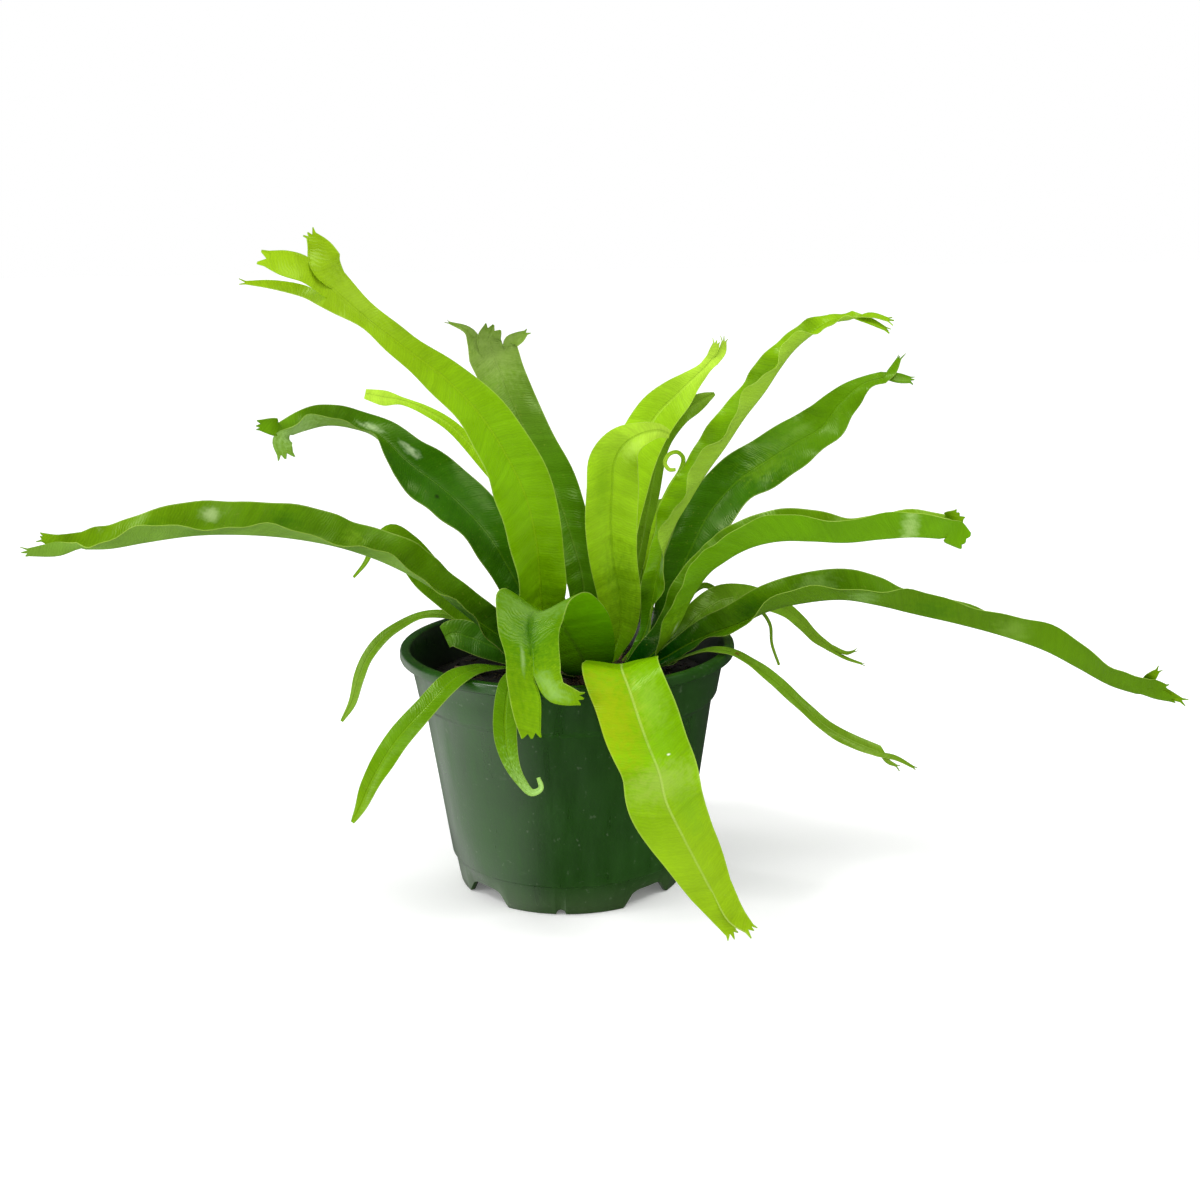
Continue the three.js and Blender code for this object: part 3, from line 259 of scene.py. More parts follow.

# Every frond, in millimetres: its leaf colour, the slot of its finish, the points of its spine with
# the blade's half width, the way that its upper side faces from a station on, the rise of the left and
# right half in degrees from a station on, the height and number of its margins' ripples, and its crest
# lobes, each with the share of the blade's width that it grows from, its own spine and, where it turns,
# the way that it faces. A patch is its place across and along, its width and length as shares of the
# blade, its colour and its strength.
# Several patches are painted light: painted highlights, painted sheen and painted shade. The rest are real
# spots, scars and specks.
FRONDS = {
    "frond_tall_left": {
        "leaf": "lime",
        "slot": "frond_lime",
        "columns": 16,
        "spine": [
            (3, -5, 108, 2.5), (-1, -6, 116, 4), (-5, -8, 124, 6.5), (-11, -14, 137, 11),
            (-12, -23, 156, 13.2), (-13, -30, 176, 13.6), (-17, -38, 199, 14.2), (-25, -47, 220, 14.4),
            (-36, -56, 240, 13), (-50, -65, 257, 9), (-66, -74, 271, 6), (-81, -80, 284, 6.5),
            (-94, -86, 297, 10),
        ],
        "faces": [(0, 0.35, -0.9, 0.25), (12, 0.3, -0.85, 0.45)],
        "channel": [(0, 12, 12)],
        "patches": [
            (0.5, 0.1, 1, 0.24, srgb(150, 208, 8), 0.6), (0.2, 0.2, 0.3, 0.06, srgb(160, 202, 60), 0.5),
            (0.75, 0.95, 0.4, 0.1, srgb(168, 200, 70), 0.25),
        ],
        "ripple": (2.4, 3.5),
        "crest": [
            ((0, 0.25), [(-107, -82, 296, 3), (-120, -82, 299, 2.1), (-131, -82, 300, 0.8)]),
            ((0.25, 0.5), [(-104, -93, 305, 6), (-112, -96, 308, 6), (-119, -96, 310, 3.6)]),
            ((0.5, 1), [(-96, -88, 307, 8), (-99, -86, 314, 5.5), (-102, -86, 319, 2.4)]),
        ],
    },
    "frond_back_left_upright": {
        "leaf": "deep",
        "slot": "frond_dark",
        "columns": 16,
        "spine": [
            (7, 6, 108, 2.5), (9, 10, 120, 4.5), (9, 13, 134, 6.5), (8, 19, 149, 9), (3, 28, 167, 11.5),
            (-5, 38, 190, 12.5), (-15, 47, 209, 12.5), (-24, 55, 228, 12.5), (-31, 61, 245, 12.8),
            (-36, 65, 257, 13),
        ],
        "faces": [(0, 0.25, -0.95, 0.2), (9, 0.25, -0.9, 0.35)],
        "channel": [(0, 10, 10)],
        "patches": [
            (0.5, 1, 0.8, 0.16, srgb(140, 166, 84), 0.6),
            (0.2, 0.7, 0.2, 0.06, srgb(118, 152, 40), 0.4),
        ],
        "ripple": (1.4, 3),
        "crest": [
            ((0, 0.25), [(-46, 65, 264, 3.8), (-49, 65, 269, 2.2), (-58, 64, 273, 0.6)]),
            ((0.25, 0.75), [(-38, 65, 264, 6.5), (-36, 64, 269, 5)]),
            ((0.75, 1), [(-27, 67, 262, 4.2), (-22, 68, 265, 3), (-19, 69, 267, 1.4)]),
        ],
    },
    "frond_left_glossy": {
        "leaf": "glossy",
        "slot": "frond_green",
        "columns": 16,
        "spine": [
            (1, 1, 107, 2.5), (-8, 1, 120, 3.5), (-18, 4, 137, 5.5), (-28, 8, 156, 11),
            (-37, 13, 171, 15),
            (-50, 20, 185, 16.5), (-63, 26, 196, 16), (-78, 30, 207, 14), (-91, 32, 220, 11.5),
            (-104, 28, 227, 11), (-115, 20, 230, 11), (-125, 11, 229, 11), (-132, 4, 227, 9),
        ],
        "faces": [
            (0, 0.3, -0.75, 0.55), (7, 0.3, -0.7, 0.65), (9, 0.1, -0.4, 0.9), (12, 0, -0.3, 0.95),
        ],
        "channel": [(0, 16, 16), (7, 18, 18), (9, 50, 45), (12, 60, 45)],
        # The two near-white patches are painted highlights.
        "patches": [
            (0.5, 0.5, 1, 0.3, srgb(30, 84, 0), 0.5), (0.5, 0.7, 0.6, 0.08, srgb(80, 130, 4), 0.5),
            (0.72, 0.6, 0.09, 0.03, srgb(206, 226, 178), 0.5),
            (0.66, 0.7, 0.09, 0.04, srgb(200, 224, 170), 0.5),
            (0.3, 0.48, 0.05, 0.008, srgb(16, 34, 6), 0.8),
        ],
        "under_patches": [(0.3, 0.97, 0.6, 0.12, srgb(158, 196, 110), 0.7)],
        "ripple": (2.6, 3.5),
        "crest": [
            ((0, 0.5), [(-135, 1, 222, 5), (-134, 0, 216, 4)], (0, 1, 0.2)),
            ((0.5, 1), [(-139, 1, 229, 4.5), (-145, 0, 230, 2.6)], (0, -1, 0.2)),
        ],
    },
    "frond_long_left": {
        "leaf": "mid",
        "slot": "frond_green",
        "columns": 16,
        "spine": [
            (-5, -6, 105, 2.5), (-17, -7, 114, 5), (-32, -10, 127, 9.5), (-47, -16, 141, 13.5),
            (-59, -24, 155, 15.5), (-72, -31, 166, 16.5), (-89, -37, 176, 16.5), (-104, -44, 183, 16.5),
            (-125, -51, 189, 17.5), (-145, -56, 192, 18), (-164, -61, 193, 17), (-185, -65, 191, 15.5),
            (-202, -68, 188, 13), (-214, -69, 187, 8),
        ],
        "faces": [(0, 0, -0.7, 0.7), (3, 0, -0.45, 0.9), (5, 0, -0.31, 0.95), (13, 0, -0.31, 0.95)],
        "channel": [
            (0, 24, 24), (3, 36, 40), (5, 38, 46), (7, 44, 46), (9, 47, 48), (11, 57, 46), (13, 50, 34),
        ],
        # The near-white patch is a painted highlight. The light and dark bands across the blade paint the
        # shading of its pleats.
        "patches": [
            (0.8, 0.745, 0.12, 0.022, srgb(204, 226, 160), 0.5),
            (0.7, 0.5, 0.2, 0.03, srgb(128, 172, 30), 0.5),
            (0.75, 0.62, 0.2, 0.03, srgb(44, 100, 0), 0.5),
            (0.7, 0.84, 0.2, 0.03, srgb(60, 112, 0), 0.5),
        ],
        "under_patches": [
            (0.3, 0.22, 1, 0.14, srgb(8, 70, 0), 0.85), (0.3, 0.5, 0.3, 0.05, srgb(70, 116, 16), 0.5),
            (0.3, 0.76, 0.3, 0.05, srgb(78, 124, 20), 0.5),
        ],
        "ripple": (2.2, 5),
        "crest": [
            ((0, 0.5), [(-226, -71, 185, 3.4), (-236, -73, 184.5, 1.8)], (0, 1, 0.2)),
            ((0.5, 1), [(-224, -68, 188, 3.4), (-231, -67, 190, 2)], (0, -1, 0.2)),
        ],
    },
    "frond_behind_left": {
        "leaf": "mid",
        "slot": "frond_green",
        "columns": 8,
        "spine": [
            (-2, 6, 106, 2.5), (-15, 9, 112, 3), (-29, 13, 118, 4.5), (-43, 21, 126, 8),
            (-58, 31, 135, 9.5), (-71, 39, 146, 9.5), (-83, 46, 160, 8), (-91, 48, 167, 5),
            (-99, 48, 161, 2.2), (-105, 48, 151, 1.2), (-111, 48, 144, 0.7),
        ],
        "faces": [(0, 0.1, -0.6, 0.8), (6, 0.1, -0.8, 0.6), (10, -0.6, -0.8, 0.1)],
        "channel": [(0, 14, 14)],
        "ripple": (1, 3),
        "crest": [],
    },
    "frond_back_left_drooping": {
        "leaf": "olive",
        "slot": "frond_olive",
        "columns": 8,
        "spine": [
            (0, 10, 105, 2), (-14, 15, 113, 2.2), (-31, 22, 120, 2.6), (-48, 31, 124, 2.8),
            (-64, 41, 125, 2.8), (-77, 47, 123, 2.8), (-89, 50, 117, 3), (-98, 51, 110, 3.4),
            (-106, 51, 100, 4), (-111, 50, 89, 4), (-115, 48, 76, 2.6), (-121, 47, 66, 0.9),
        ],
        "faces": [(0, -0.1, -0.5, 0.85), (5, -0.2, -0.6, 0.75), (11, -0.6, -0.8, 0.1)],
        "channel": [(0, 14, 14)],
        "ripple": (0.7, 3),
        "crest": [],
    },
    "frond_front_left_drooping": {
        "leaf": "mid",
        "slot": "frond_green",
        "columns": 8,
        "spine": [
            (-3, -12, 104, 2), (-15, -25, 112, 2.2), (-28, -42, 119.5, 3.2), (-40, -57, 123.5, 4.6),
            (-50, -69, 122.5, 5.6), (-63, -80, 112, 6.4), (-75, -85, 100, 6.2), (-83, -88, 89, 5.4),
            (-89, -89, 78, 4.4), (-93, -90, 69, 3), (-97, -90, 62, 0.9),
        ],
        "faces": [
            (0, -0.1, 0.1, 1), (3, -0.15, -0.35, 0.9), (6, -0.4, -0.85, 0.4), (10, -0.4, -0.9, 0.2),
        ],
        "channel": [(0, 12, 12)],
        "ripple": (0.8, 2.5),
        "crest": [],
    },
    "frond_left_stub": {
        "leaf": "shaded",
        "slot": "frond_dark",
        "columns": 16,
        "spine": [
            (-4, -2, 106, 2.5), (-14, -3, 109, 3.5), (-25, -2, 113.5, 5.5), (-37, 0, 118.5, 7.5),
            (-49, 4, 122.5, 8.2), (-57, 6, 124, 7.6), (-61, 6, 122, 6),
        ],
        "faces": [(0, 0.1, -0.8, 0.6), (6, 0.1, -0.8, 0.6)],
        "channel": [(0, 10, 10)],
        "ripple": (0.6, 1.5),
        "crest": [],
    },
    "frond_front_crested": {
        "leaf": "mid",
        "slot": "frond_green",
        "under": "dark_green",
        "columns": 16,
        "spine": [
            (10, -15, 105, 6), (9, -19, 112, 14), (6, -26, 124, 19), (0, -37, 138, 21),
            (-5, -50, 149, 22),
            (-10, -62, 155, 22), (-14, -71, 155, 20), (-16, -78, 149, 15), (-15, -84, 140, 12),
            (-14.5, -89, 129, 12),
        ],
        "faces": [
            (0, 0, 0.85, 0.5), (3, 0, 0.7, 0.7), (4.5, 0, 0.3, 0.95), (5.5, 0, -0.1, 1),
            (6.5, 0, -0.7, 0.7), (8, 0, -0.95, 0.35), (9, 0, -1, 0.1),
        ],
        "channel": [(0, 15, 15), (3, 22, 22), (5, 34, 34), (6.5, 30, 30), (8, 16, 16), (9, 14, 14)],
        # The narrow dark stripe is painted shade in the midrib's groove, the grey-green band is a painted
        # sheen, and the near-white spot is a painted highlight.
        "patches": [
            (0.5, 0.84, 1, 0.24, srgb(64, 116, 0), 0.75),
            (0.5, 0.66, 0.6, 0.09, srgb(140, 178, 92), 0.4),
            (0.5, 0.8, 0.16, 0.16, srgb(40, 88, 0), 0.75),
            (0.68, 0.93, 0.05, 0.07, srgb(200, 226, 160), 0.25),
            (0.3, 1.03, 0.2, 0.05, srgb(150, 190, 100), 0.5),
        ],
        "ripple": (1, 2),
        "crest": [
            ((0, 0.5), [(-5, -93, 123, 5.5), (1, -95, 121, 4.4), (5.5, -96, 120, 3)]),
            ((0.5, 1), [(-18, -92, 119, 7), (-17, -94, 111, 6), (-16, -95, 104, 4.6)]),
        ],
    },
    "frond_front_curl": {
        "leaf": "mid",
        "slot": "frond_green",
        "columns": 8,
        "spine": [
            (4, -12, 105, 2), (-3, -26, 110.5, 2), (-11, -45, 119, 3), (-20, -64, 124.5, 4),
            (-25, -81, 123, 5.2), (-27, -89, 113, 5.5), (-27, -92, 101, 5.2), (-25, -94, 91, 4),
            (-21, -94, 82, 2.4), (-16, -94, 76, 1.6), (-12, -94, 78, 1.2), (-13, -94, 83, 0.8),
        ],
        "faces": [(0, 0, 0.35, 0.95), (3, 0, 0, 1), (5, -0.2, -0.9, 0.3), (11, -0.1, -1, 0)],
        "channel": [(0, 10, 10)],
        "patches": [(0.5, 0.92, 1, 0.3, srgb(168, 214, 120), 0.75)],
        "ripple": (0.6, 2),
        "crest": [],
    },
    "frond_front_right_broad": {
        "leaf": "lime",
        "slot": "frond_lime",
        "columns": 16,
        "spine": [
            (24, -16, 104.5, 3), (26, -26, 110.5, 6), (26, -40, 118, 11), (25, -54, 124.5, 15.5),
            (25, -68, 128, 17.3), (25, -81, 128.5, 17.6), (28, -92, 122, 17.2), (32, -99, 110, 17),
            (36, -103, 99, 17), (40, -106, 89, 16.8), (43, -109, 76, 16.6), (49, -111, 63, 15),
            (55, -113, 51, 12.8), (62, -114, 37, 10),
        ],
        "faces": [
            (0, 0, 0.5, 0.85), (4, -0.12, 0.05, 1), (5, -0.12, -0.35, 0.92), (6, -0.1, -0.85, 0.5),
            (13, 0, -0.95, 0.3),
        ],
        "channel": [(0, 20, 20), (4, 14, 14), (8, 8, 8), (13, 12, 12)],
        "rib": srgb(206, 222, 130),
        # Its pale patches near the fold are a painted highlight and a painted sheen.
        "patches": [
            (0.85, 0.5, 0.5, 0.2, srgb(150, 160, 10), 0.6),
            (0.3, 0.5, 0.24, 0.1, srgb(150, 192, 70), 0.3),
            (0.35, 0.62, 0.3, 0.07, srgb(112, 164, 20), 0.5),
            (0.5, 0.72, 0.6, 0.06, srgb(158, 182, 84), 0.45),
            (0.6, 0.9, 0.8, 0.16, srgb(126, 162, 24), 0.5),
            (0.25, 0.8, 0.2, 0.1, srgb(112, 160, 24), 0.4),
            (0.3, 0.655, 0.03, 0.004, srgb(240, 240, 220), 0.9),
        ],
        "ripple": (2, 3),
        "crest": [
            ((0, 0.5), [(73, -115, 25, 4.6), (79, -116, 19, 2.6)]),
            ((0.5, 1), [(67, -115, 24, 4.6), (71, -116, 17, 2.6)]),
        ],
    },
    "frond_centre_light": {
        "leaf": "pale",
        "slot": "frond_light",
        "columns": 16,
        "spine": [
            (20, -6, 109, 2.5), (23, -6, 117, 4), (26, -6, 127, 8), (26, -8, 144, 10.5),
            (23, -11, 163, 12),
            (22, -14, 183, 12.5), (23, -16, 200, 13), (24, -17, 212, 12), (29, -20, 221, 9),
            (37, -22, 226, 5.5), (45, -20, 227, 3.2), (50, -18, 225, 2),
        ],
        "faces": [(0, 0, -1, 0.1), (7, 0.05, -1, 0.15), (11, 0.1, -0.9, 0.4)],
        "channel": [(0, 12, 12)],
        "rib": srgb(96, 138, 0),
        "patches": [
            (0.6, 0.3, 0.5, 0.12, srgb(84, 132, 0), 0.6),
            (0.75, 0.75, 0.25, 0.1, srgb(176, 214, 76), 0.6),
            (0.3, 0.55, 0.2, 0.1, srgb(112, 160, 6), 0.5),
        ],
        "ripple": (1, 2.5),
        "crest": [],
    },
    "frond_centre_back_light": {
        "leaf": "pale",
        "slot": "frond_light",
        "columns": 16,
        "spine": [
            (17, 4, 110, 2.5), (21, 4, 124, 4), (24, 5, 140, 5.5), (25, 8, 159, 8.5),
            (28, 13, 183, 10.5),
            (34, 20, 207, 11.5), (46, 29, 228, 11), (57, 34, 238, 8.5), (65, 38, 245, 5),
            (71, 40, 250, 3),
            (75, 42, 254, 3.8),
        ],
        "faces": [(0, -0.1, -1, 0.1), (10, -0.1, -0.95, 0.2)],
        "channel": [(0, 12, 12)],
        "ripple": (0.8, 3),
        "crest": [
            ((0, 0.5), [(76, 43, 259, 2.4), (77, 43, 262, 1.6)]),
            ((0.5, 1), [(80, 43, 258, 2.2), (81, 43, 263, 1.2)]),
        ],
    },
    "frond_centre_back_narrow": {
        "leaf": "olive",
        "slot": "frond_dark",
        "columns": 8,
        "spine": [
            (22, 8, 109, 2), (27, 14, 122, 2.4), (31, 18, 138, 3), (37, 23, 161, 4), (43, 31, 188, 4.5),
            (49, 39, 213, 4.8), (58, 43, 225, 5), (66, 47, 231, 4.8), (72, 50, 234, 3.4),
            (77, 52, 236, 0.9),
        ],
        "faces": [(0, 0, -1, 0.2), (9, 0, -1, 0.3)],
        "channel": [(0, 12, 12)],
        "ripple": (0.8, 3),
        "crest": [],
    },
    "frond_coiled_tip": {
        "leaf": "pale",
        "slot": "frond_light",
        "columns": 8,
        "spine": [
            (28, 1, 108, 2), (34, 4, 115, 2), (39, 7, 124, 2.4), (39, 9, 140, 3), (42, 10, 160, 2.6),
            (46, 10, 180, 2), (52, 9, 195, 1.6), (57, 8, 204, 1.2), (58, 7, 210, 1), (55, 6, 213, 1),
            (51, 5, 212, 1), (49, 4, 208, 1), (51, 3, 205, 1), (54, 2, 205, 0.8),
        ],
        "faces": [(0, 0, -1, 0.1), (13, 0, -1, 0.1)],
        "channel": [(0, 0, 0)],
        "ripple": (0, 1),
        "crest": [],
    },
    "frond_right_tall": {
        "leaf": "bright",
        "slot": "frond_light",
        "under": "light_green",
        "columns": 16,
        "spine": [
            (29, -4, 107, 2), (34, -2, 115, 3), (39, 0, 126, 4.5), (42, 0, 142, 6.5),
            (45, -1, 161, 8.5),
            (50, -1, 178, 11.5), (57, -2, 192, 13.5), (65, -4, 206, 14), (74, -6, 219, 14),
            (83, -8, 233, 13.5), (92, -11, 245, 12.5), (99, -14, 256, 11.5), (106, -16, 265, 10),
            (115, -19, 272, 7), (124, -22, 277, 5), (134, -24, 278.5, 3.8),
        ],
        "faces": [
            (0, -0.4, -0.85, 0.3), (5, -0.72, -0.22, 0.6), (14, -0.6, -0.22, 0.7),
            (15, -0.3, -0.5, 0.8),
        ],
        "channel": [(0, 14, 14), (4, 35, 35), (6, 54, 54), (12, 54, 54), (15, 25, 25)],
        "ripple": (3, 6),
        "crest": [
            ((0, 0.5), [(143, -25, 276, 2.2), (149, -25, 273, 1.2)]),
            ((0.5, 1), [(143, -25, 279, 2), (150, -25, 277, 1.4)]),
        ],
    },
    "frond_right_broad": {
        "leaf": "glossy",
        "slot": "frond_dark",
        "columns": 16,
        "spine": [
            (30, 6, 107, 2), (38, 7, 114, 3), (45, 8, 122, 4.5), (50, 11, 133, 6.5), (56, 17, 148, 10),
            (64, 23, 164, 13), (73, 30, 179, 14.5), (87, 37, 193, 14), (104, 44, 203, 13.5),
            (119, 49, 211, 14), (132, 52, 218, 13.5), (141, 54, 229, 8.5), (153, 56, 239, 5),
            (164, 57, 242, 4),
        ],
        "faces": [(0, -0.35, -0.85, 0.4), (13, -0.3, -0.8, 0.5)],
        "channel": [(0, 12, 12)],
        "patches": [
            (0.3, 0.72, 0.1, 0.05, srgb(140, 176, 84), 0.3),
            (0.6, 0.6, 0.2, 0.06, srgb(112, 152, 20), 0.4),
            (0.5, 0.75, 1, 0.2, srgb(84, 128, 0), 0.6),
        ],
        "ripple": (2.8, 4),
        "crest": [
            ((0, 0.5), [(172, 57, 242, 3), (178, 57, 241, 1.8)]),
            ((0.5, 1), [(169, 57, 246, 2.6), (172, 57, 252, 1.2)]),
        ],
    },
    "frond_right_level": {
        "leaf": "mid",
        "slot": "frond_lime",
        "under": "fresh_green",
        "fringe": 0.7,
        "columns": 16,
        "spine": [
            (28, -10, 106, 2.5), (35, -13, 112, 7), (43, -16, 121, 11), (50, -20, 133, 13),
            (55, -24, 146, 13.5), (60, -29, 157, 13.5), (65, -34, 165, 13.5), (71, -38, 171, 14),
            (78, -42, 177, 15), (87, -46, 182, 16), (99, -49, 185, 17), (113, -52, 185, 16.5),
            (128, -55, 184, 14), (143, -58, 186, 15), (158, -59, 187, 16), (172, -61, 186, 15),
        ],
        "faces": [
            (0, -0.5, -0.75, 0.4), (3, -0.85, -0.15, 0.5), (6, -0.8, 0, 0.6), (9, -0.2, 0, 1),
            (15, 0, 0.05, 1),
        ],
        "channel": [
            (0, 20, 20), (3, 50, 50), (6, 60, 60), (8, 70, 66), (10, 72, 66), (12, 58, 68),
            (15, 50, 62),
        ],
        "under_patches": [
            (0.7, 0.925, 0.5, 0.02, srgb(172, 204, 120), 0.6),
            (0.6, 0.2, 0.05, 0.02, srgb(214, 226, 196), 0.7),
            (0.6, 0.16, 1, 0.12, srgb(140, 196, 20), 0.5),
        ],
        "ripple": (1.8, 4.5),
        "crest": [
            ((0, 0.5), [(176, -59, 190, 5), (178, -59, 192, 3)], (0, -1, 0.2)),
            ((0.5, 1), [(176, -63, 184, 6), (180, -64, 181, 4.5)], (0, 1, 0.2)),
        ],
    },
    "frond_long_right": {
        "leaf": "mid",
        "slot": "frond_green",
        "under": "dull_green",
        "columns": 16,
        "spine": [
            (33, 1, 105, 2), (46, 1, 110, 4), (58, -1, 118, 7), (70, -3, 125, 9.5), (83, -5, 131, 12),
            (98, -8, 140, 14.5), (116, -10, 145, 16), (135, -12, 147, 17), (153, -13, 144, 16),
            (171, -13, 139, 14.5), (192, -15, 134, 14), (214, -17, 128, 14.5), (234, -19, 121, 15.5),
            (250, -21, 112, 14.5), (265, -23, 103, 12.5), (279, -25, 98, 11),
        ],
        "faces": [
            (0, -0.2, -0.6, 0.75), (3, -0.1, -0.5, 0.85), (5, 0, -0.28, 0.96), (7, 0, -0.28, 0.96),
            (8, 0, -0.14, 1), (9, 0, 0.1, 1), (10, 0, 0.17, 0.98), (15, 0, 0.1, 0.98),
        ],
        "channel": [
            (0, 22, 22), (3, 50, 30), (4, 55, 40), (5, 58, 58), (7, 61, 61), (8, 58, 58), (9, 52, 62),
            (12, 50, 62), (14, 40, 55), (15, 35, 50),
        ],
        "patches": [
            (0.3, 0.42, 0.3, 0.04, srgb(150, 188, 92), 0.5),
            (0.3, 0.3, 0.3, 0.04, srgb(20, 84, 0), 0.5),
        ],
        "under_patches": [
            (0.7, 0.5, 0.3, 0.03, srgb(132, 172, 84), 0.5),
            (0.7, 0.74, 0.3, 0.03, srgb(124, 160, 60), 0.45),
            (0.7, 0.62, 0.3, 0.04, srgb(50, 100, 0), 0.5),
        ],
        "ripple": (2.4, 5),
        "crest": [
            ((0, 0.25), [(283, -24, 104, 2.8), (286, -24, 107, 1.2)], (0, -1, 0.2)),
            ((0.25, 0.5), [(287, -25, 97, 3), (298, -26, 92.5, 1.2)], (0, -1, 0.2)),
            ((0.5, 0.75), [(286, -27, 96, 3), (292, -28, 94, 1.6)], (0, 1, 0.2)),
            ((0.75, 1), [(284, -28, 101, 2.8), (289, -28, 100, 1.4)], (0, 1, 0.2)),
        ],
    },
    "frond_thread": {
        "leaf": "olive",
        "slot": "frond_dark",
        "columns": 8,
        "spine": [
            (29, 15, 106, 1.2), (49, 25, 118, 1.3), (62, 36, 133, 1.4), (71, 42, 138, 1.6),
            (81, 48, 132, 1.5),
            (93, 52, 127, 1.2), (102, 53, 121, 1), (107, 54, 113, 0.9), (108, 54, 103, 0.8),
            (112, 54, 91, 0.7),
        ],
        "faces": [(0, 0, -1, 0.3), (9, 0.2, -1, 0.1)],
        "channel": [(0, 0, 0)],
        "ripple": (0, 1),
        "crest": [],
    },
    "frond_back_right_arching": {
        "leaf": "olive",
        "slot": "frond_olive",
        "columns": 8,
        "spine": [
            (32, 7, 104.5, 2.4), (45, 13, 111, 3.2), (59, 21, 119, 6.5), (69, 28, 127, 8.5),
            (80, 35, 132, 8), (93, 41, 132, 6.5), (104, 46, 128, 5.2), (115, 50, 122, 4.2),
            (123, 52, 115, 3.4), (131, 54, 106, 3.2), (139, 54, 100, 2.2),
        ],
        "faces": [(0, 0, -0.7, 0.7), (4, 0, -0.85, 0.55), (10, 0.5, -0.8, 0.2)],
        "channel": [(0, 10, 10)],
        "ripple": (0.8, 3),
        "crest": [
            ((0, 0.5), [(148, 54, 97, 1.1), (152, 54, 98, 0.6)]),
            ((0.5, 1), [(148, 54, 94, 1), (156, 54, 91, 0.6)]),
        ],
    },
    "frond_right_drooping": {
        "leaf": "olive",
        "slot": "frond_green",
        "columns": 8,
        "spine": [
            (32, -8, 104, 1.6), (46, -14, 111, 1.6), (59, -22, 118.5, 1.8), (69, -28, 122.5, 2.2),
            (79, -33, 122.5, 2.8), (89, -37, 117, 3.2), (100, -41, 109, 3.4), (111, -46, 99, 3.4),
            (122, -51, 90, 3.4), (134, -55, 84, 3.6), (145, -58, 80, 3.2),
        ],
        "faces": [(0, 0, -0.2, 1), (4, 0.1, -0.35, 0.95), (6, 0.4, -0.75, 0.5), (10, 0.3, -0.8, 0.5)],
        "channel": [(0, 14, 14)],
        "patches": [(0.5, 0.42, 0.3, 0.012, srgb(96, 60, 20), 0.8)],
        "ripple": (0.8, 4),
        "crest": [
            ((0, 0.5), [(149, -60, 76, 1.3), (153, -61, 74, 0.6)]),
            ((0.5, 1), [(153, -59, 77, 1.3), (161, -61, 73, 0.6)]),
        ],
    },
    "frond_budding_left": {
        "leaf": "pale",
        "slot": "frond_light",
        "columns": 8,
        "spine": [
            (5, 1, 109, 2), (2, 2, 124, 2.2), (-3, 3, 140, 2.8), (-10, 2, 160, 3.6),
            (-22, -1, 190, 4.4),
            (-38, -6, 212, 4), (-53, -8, 229, 3), (-65, -9, 237, 2.4), (-76, -9, 241.5, 1.6),
            (-84, -9, 243, 4), (-93, -9, 245, 2.4),
        ],
        "faces": [(0, 0.3, -0.95, 0.2), (10, 0.2, -0.95, 0.3)],
        "channel": [(0, 8, 8)],
        "ripple": (0.4, 3),
        "crest": [],
    },
    "frond_back_arching": {
        "leaf": "olive",
        "slot": "frond_olive",
        "columns": 16,
        "spine": [
            (23, 14, 105, 2), (31, 20, 118, 2.6), (37, 27, 136, 3.2), (40, 33, 154, 4.5),
            (43, 42, 171, 6),
            (45, 54, 180, 7), (48, 70, 178, 8), (52, 92, 168, 8.5), (56, 112, 150, 7.5),
            (58, 124, 132, 5.5),
        ],
        "faces": [(0, 0, -0.9, 0.4), (4, 0, -0.75, 0.65), (6, 0, 0.1, 1), (9, 0, 0.85, 0.5)],
        "channel": [(0, 12, 12)],
        "ripple": (1.2, 3),
        "crest": [
            ((0, 0.5), [(54, 130, 122, 2.2), (53, 131, 115, 0.7)]),
            ((0.5, 1), [(62, 130, 121, 2.4), (64, 133, 112, 0.7)]),
        ],
    },
}


def curve_points(points, rows):
    """A centripetal curve through points, as rows + 1 rows spread evenly over the stations."""
    points = np.array(points, dtype=float)
    before = 2 * points[0] - points[1]
    after = 2 * points[-1] - points[-2]
    padded = np.vstack([before, points, after])
    last = len(points) - 1
    result = []
    for row in range(rows + 1):
        place = last * row / rows
        part = min(int(place), last - 1)
        weight = place - part
        p0, p1, p2, p3 = padded[part:part + 4]
        gaps = [max(np.linalg.norm(b - a) ** 0.5, 1e-4) for a, b in ((p0, p1), (p1, p2), (p2, p3))]
        start = (p1 - p0) / gaps[0] - (p2 - p0) / (gaps[0] + gaps[1]) + (p2 - p1) / gaps[1]
        end = (p2 - p1) / gaps[1] - (p3 - p1) / (gaps[1] + gaps[2]) + (p3 - p2) / gaps[2]
        start, end = start * gaps[1], end * gaps[1]
        square = 3 * (p2 - p1) - 2 * start - end
        cube = 2 * (p1 - p2) + start + end
        result.append(p1 + start * weight + square * weight ** 2 + cube * weight ** 3)
    return np.array(result)


def unit(vectors):
    """Vectors of length one."""
    return vectors / np.maximum(np.linalg.norm(vectors, axis=-1, keepdims=True), 1e-9)


def smoothed(values, times):
    """Values along a row list, eased by their neighbours, with both ends kept."""
    values = values.copy()
    for _ in range(times):
        values[1:-1] = (values[:-2] + 2 * values[1:-1] + values[2:]) / 4
    return values


def smoothstep(share):
    """A share from 0 to 1 that starts and ends gently."""
    share = np.clip(share, 0, 1)
    return share * share * (3 - 2 * share)


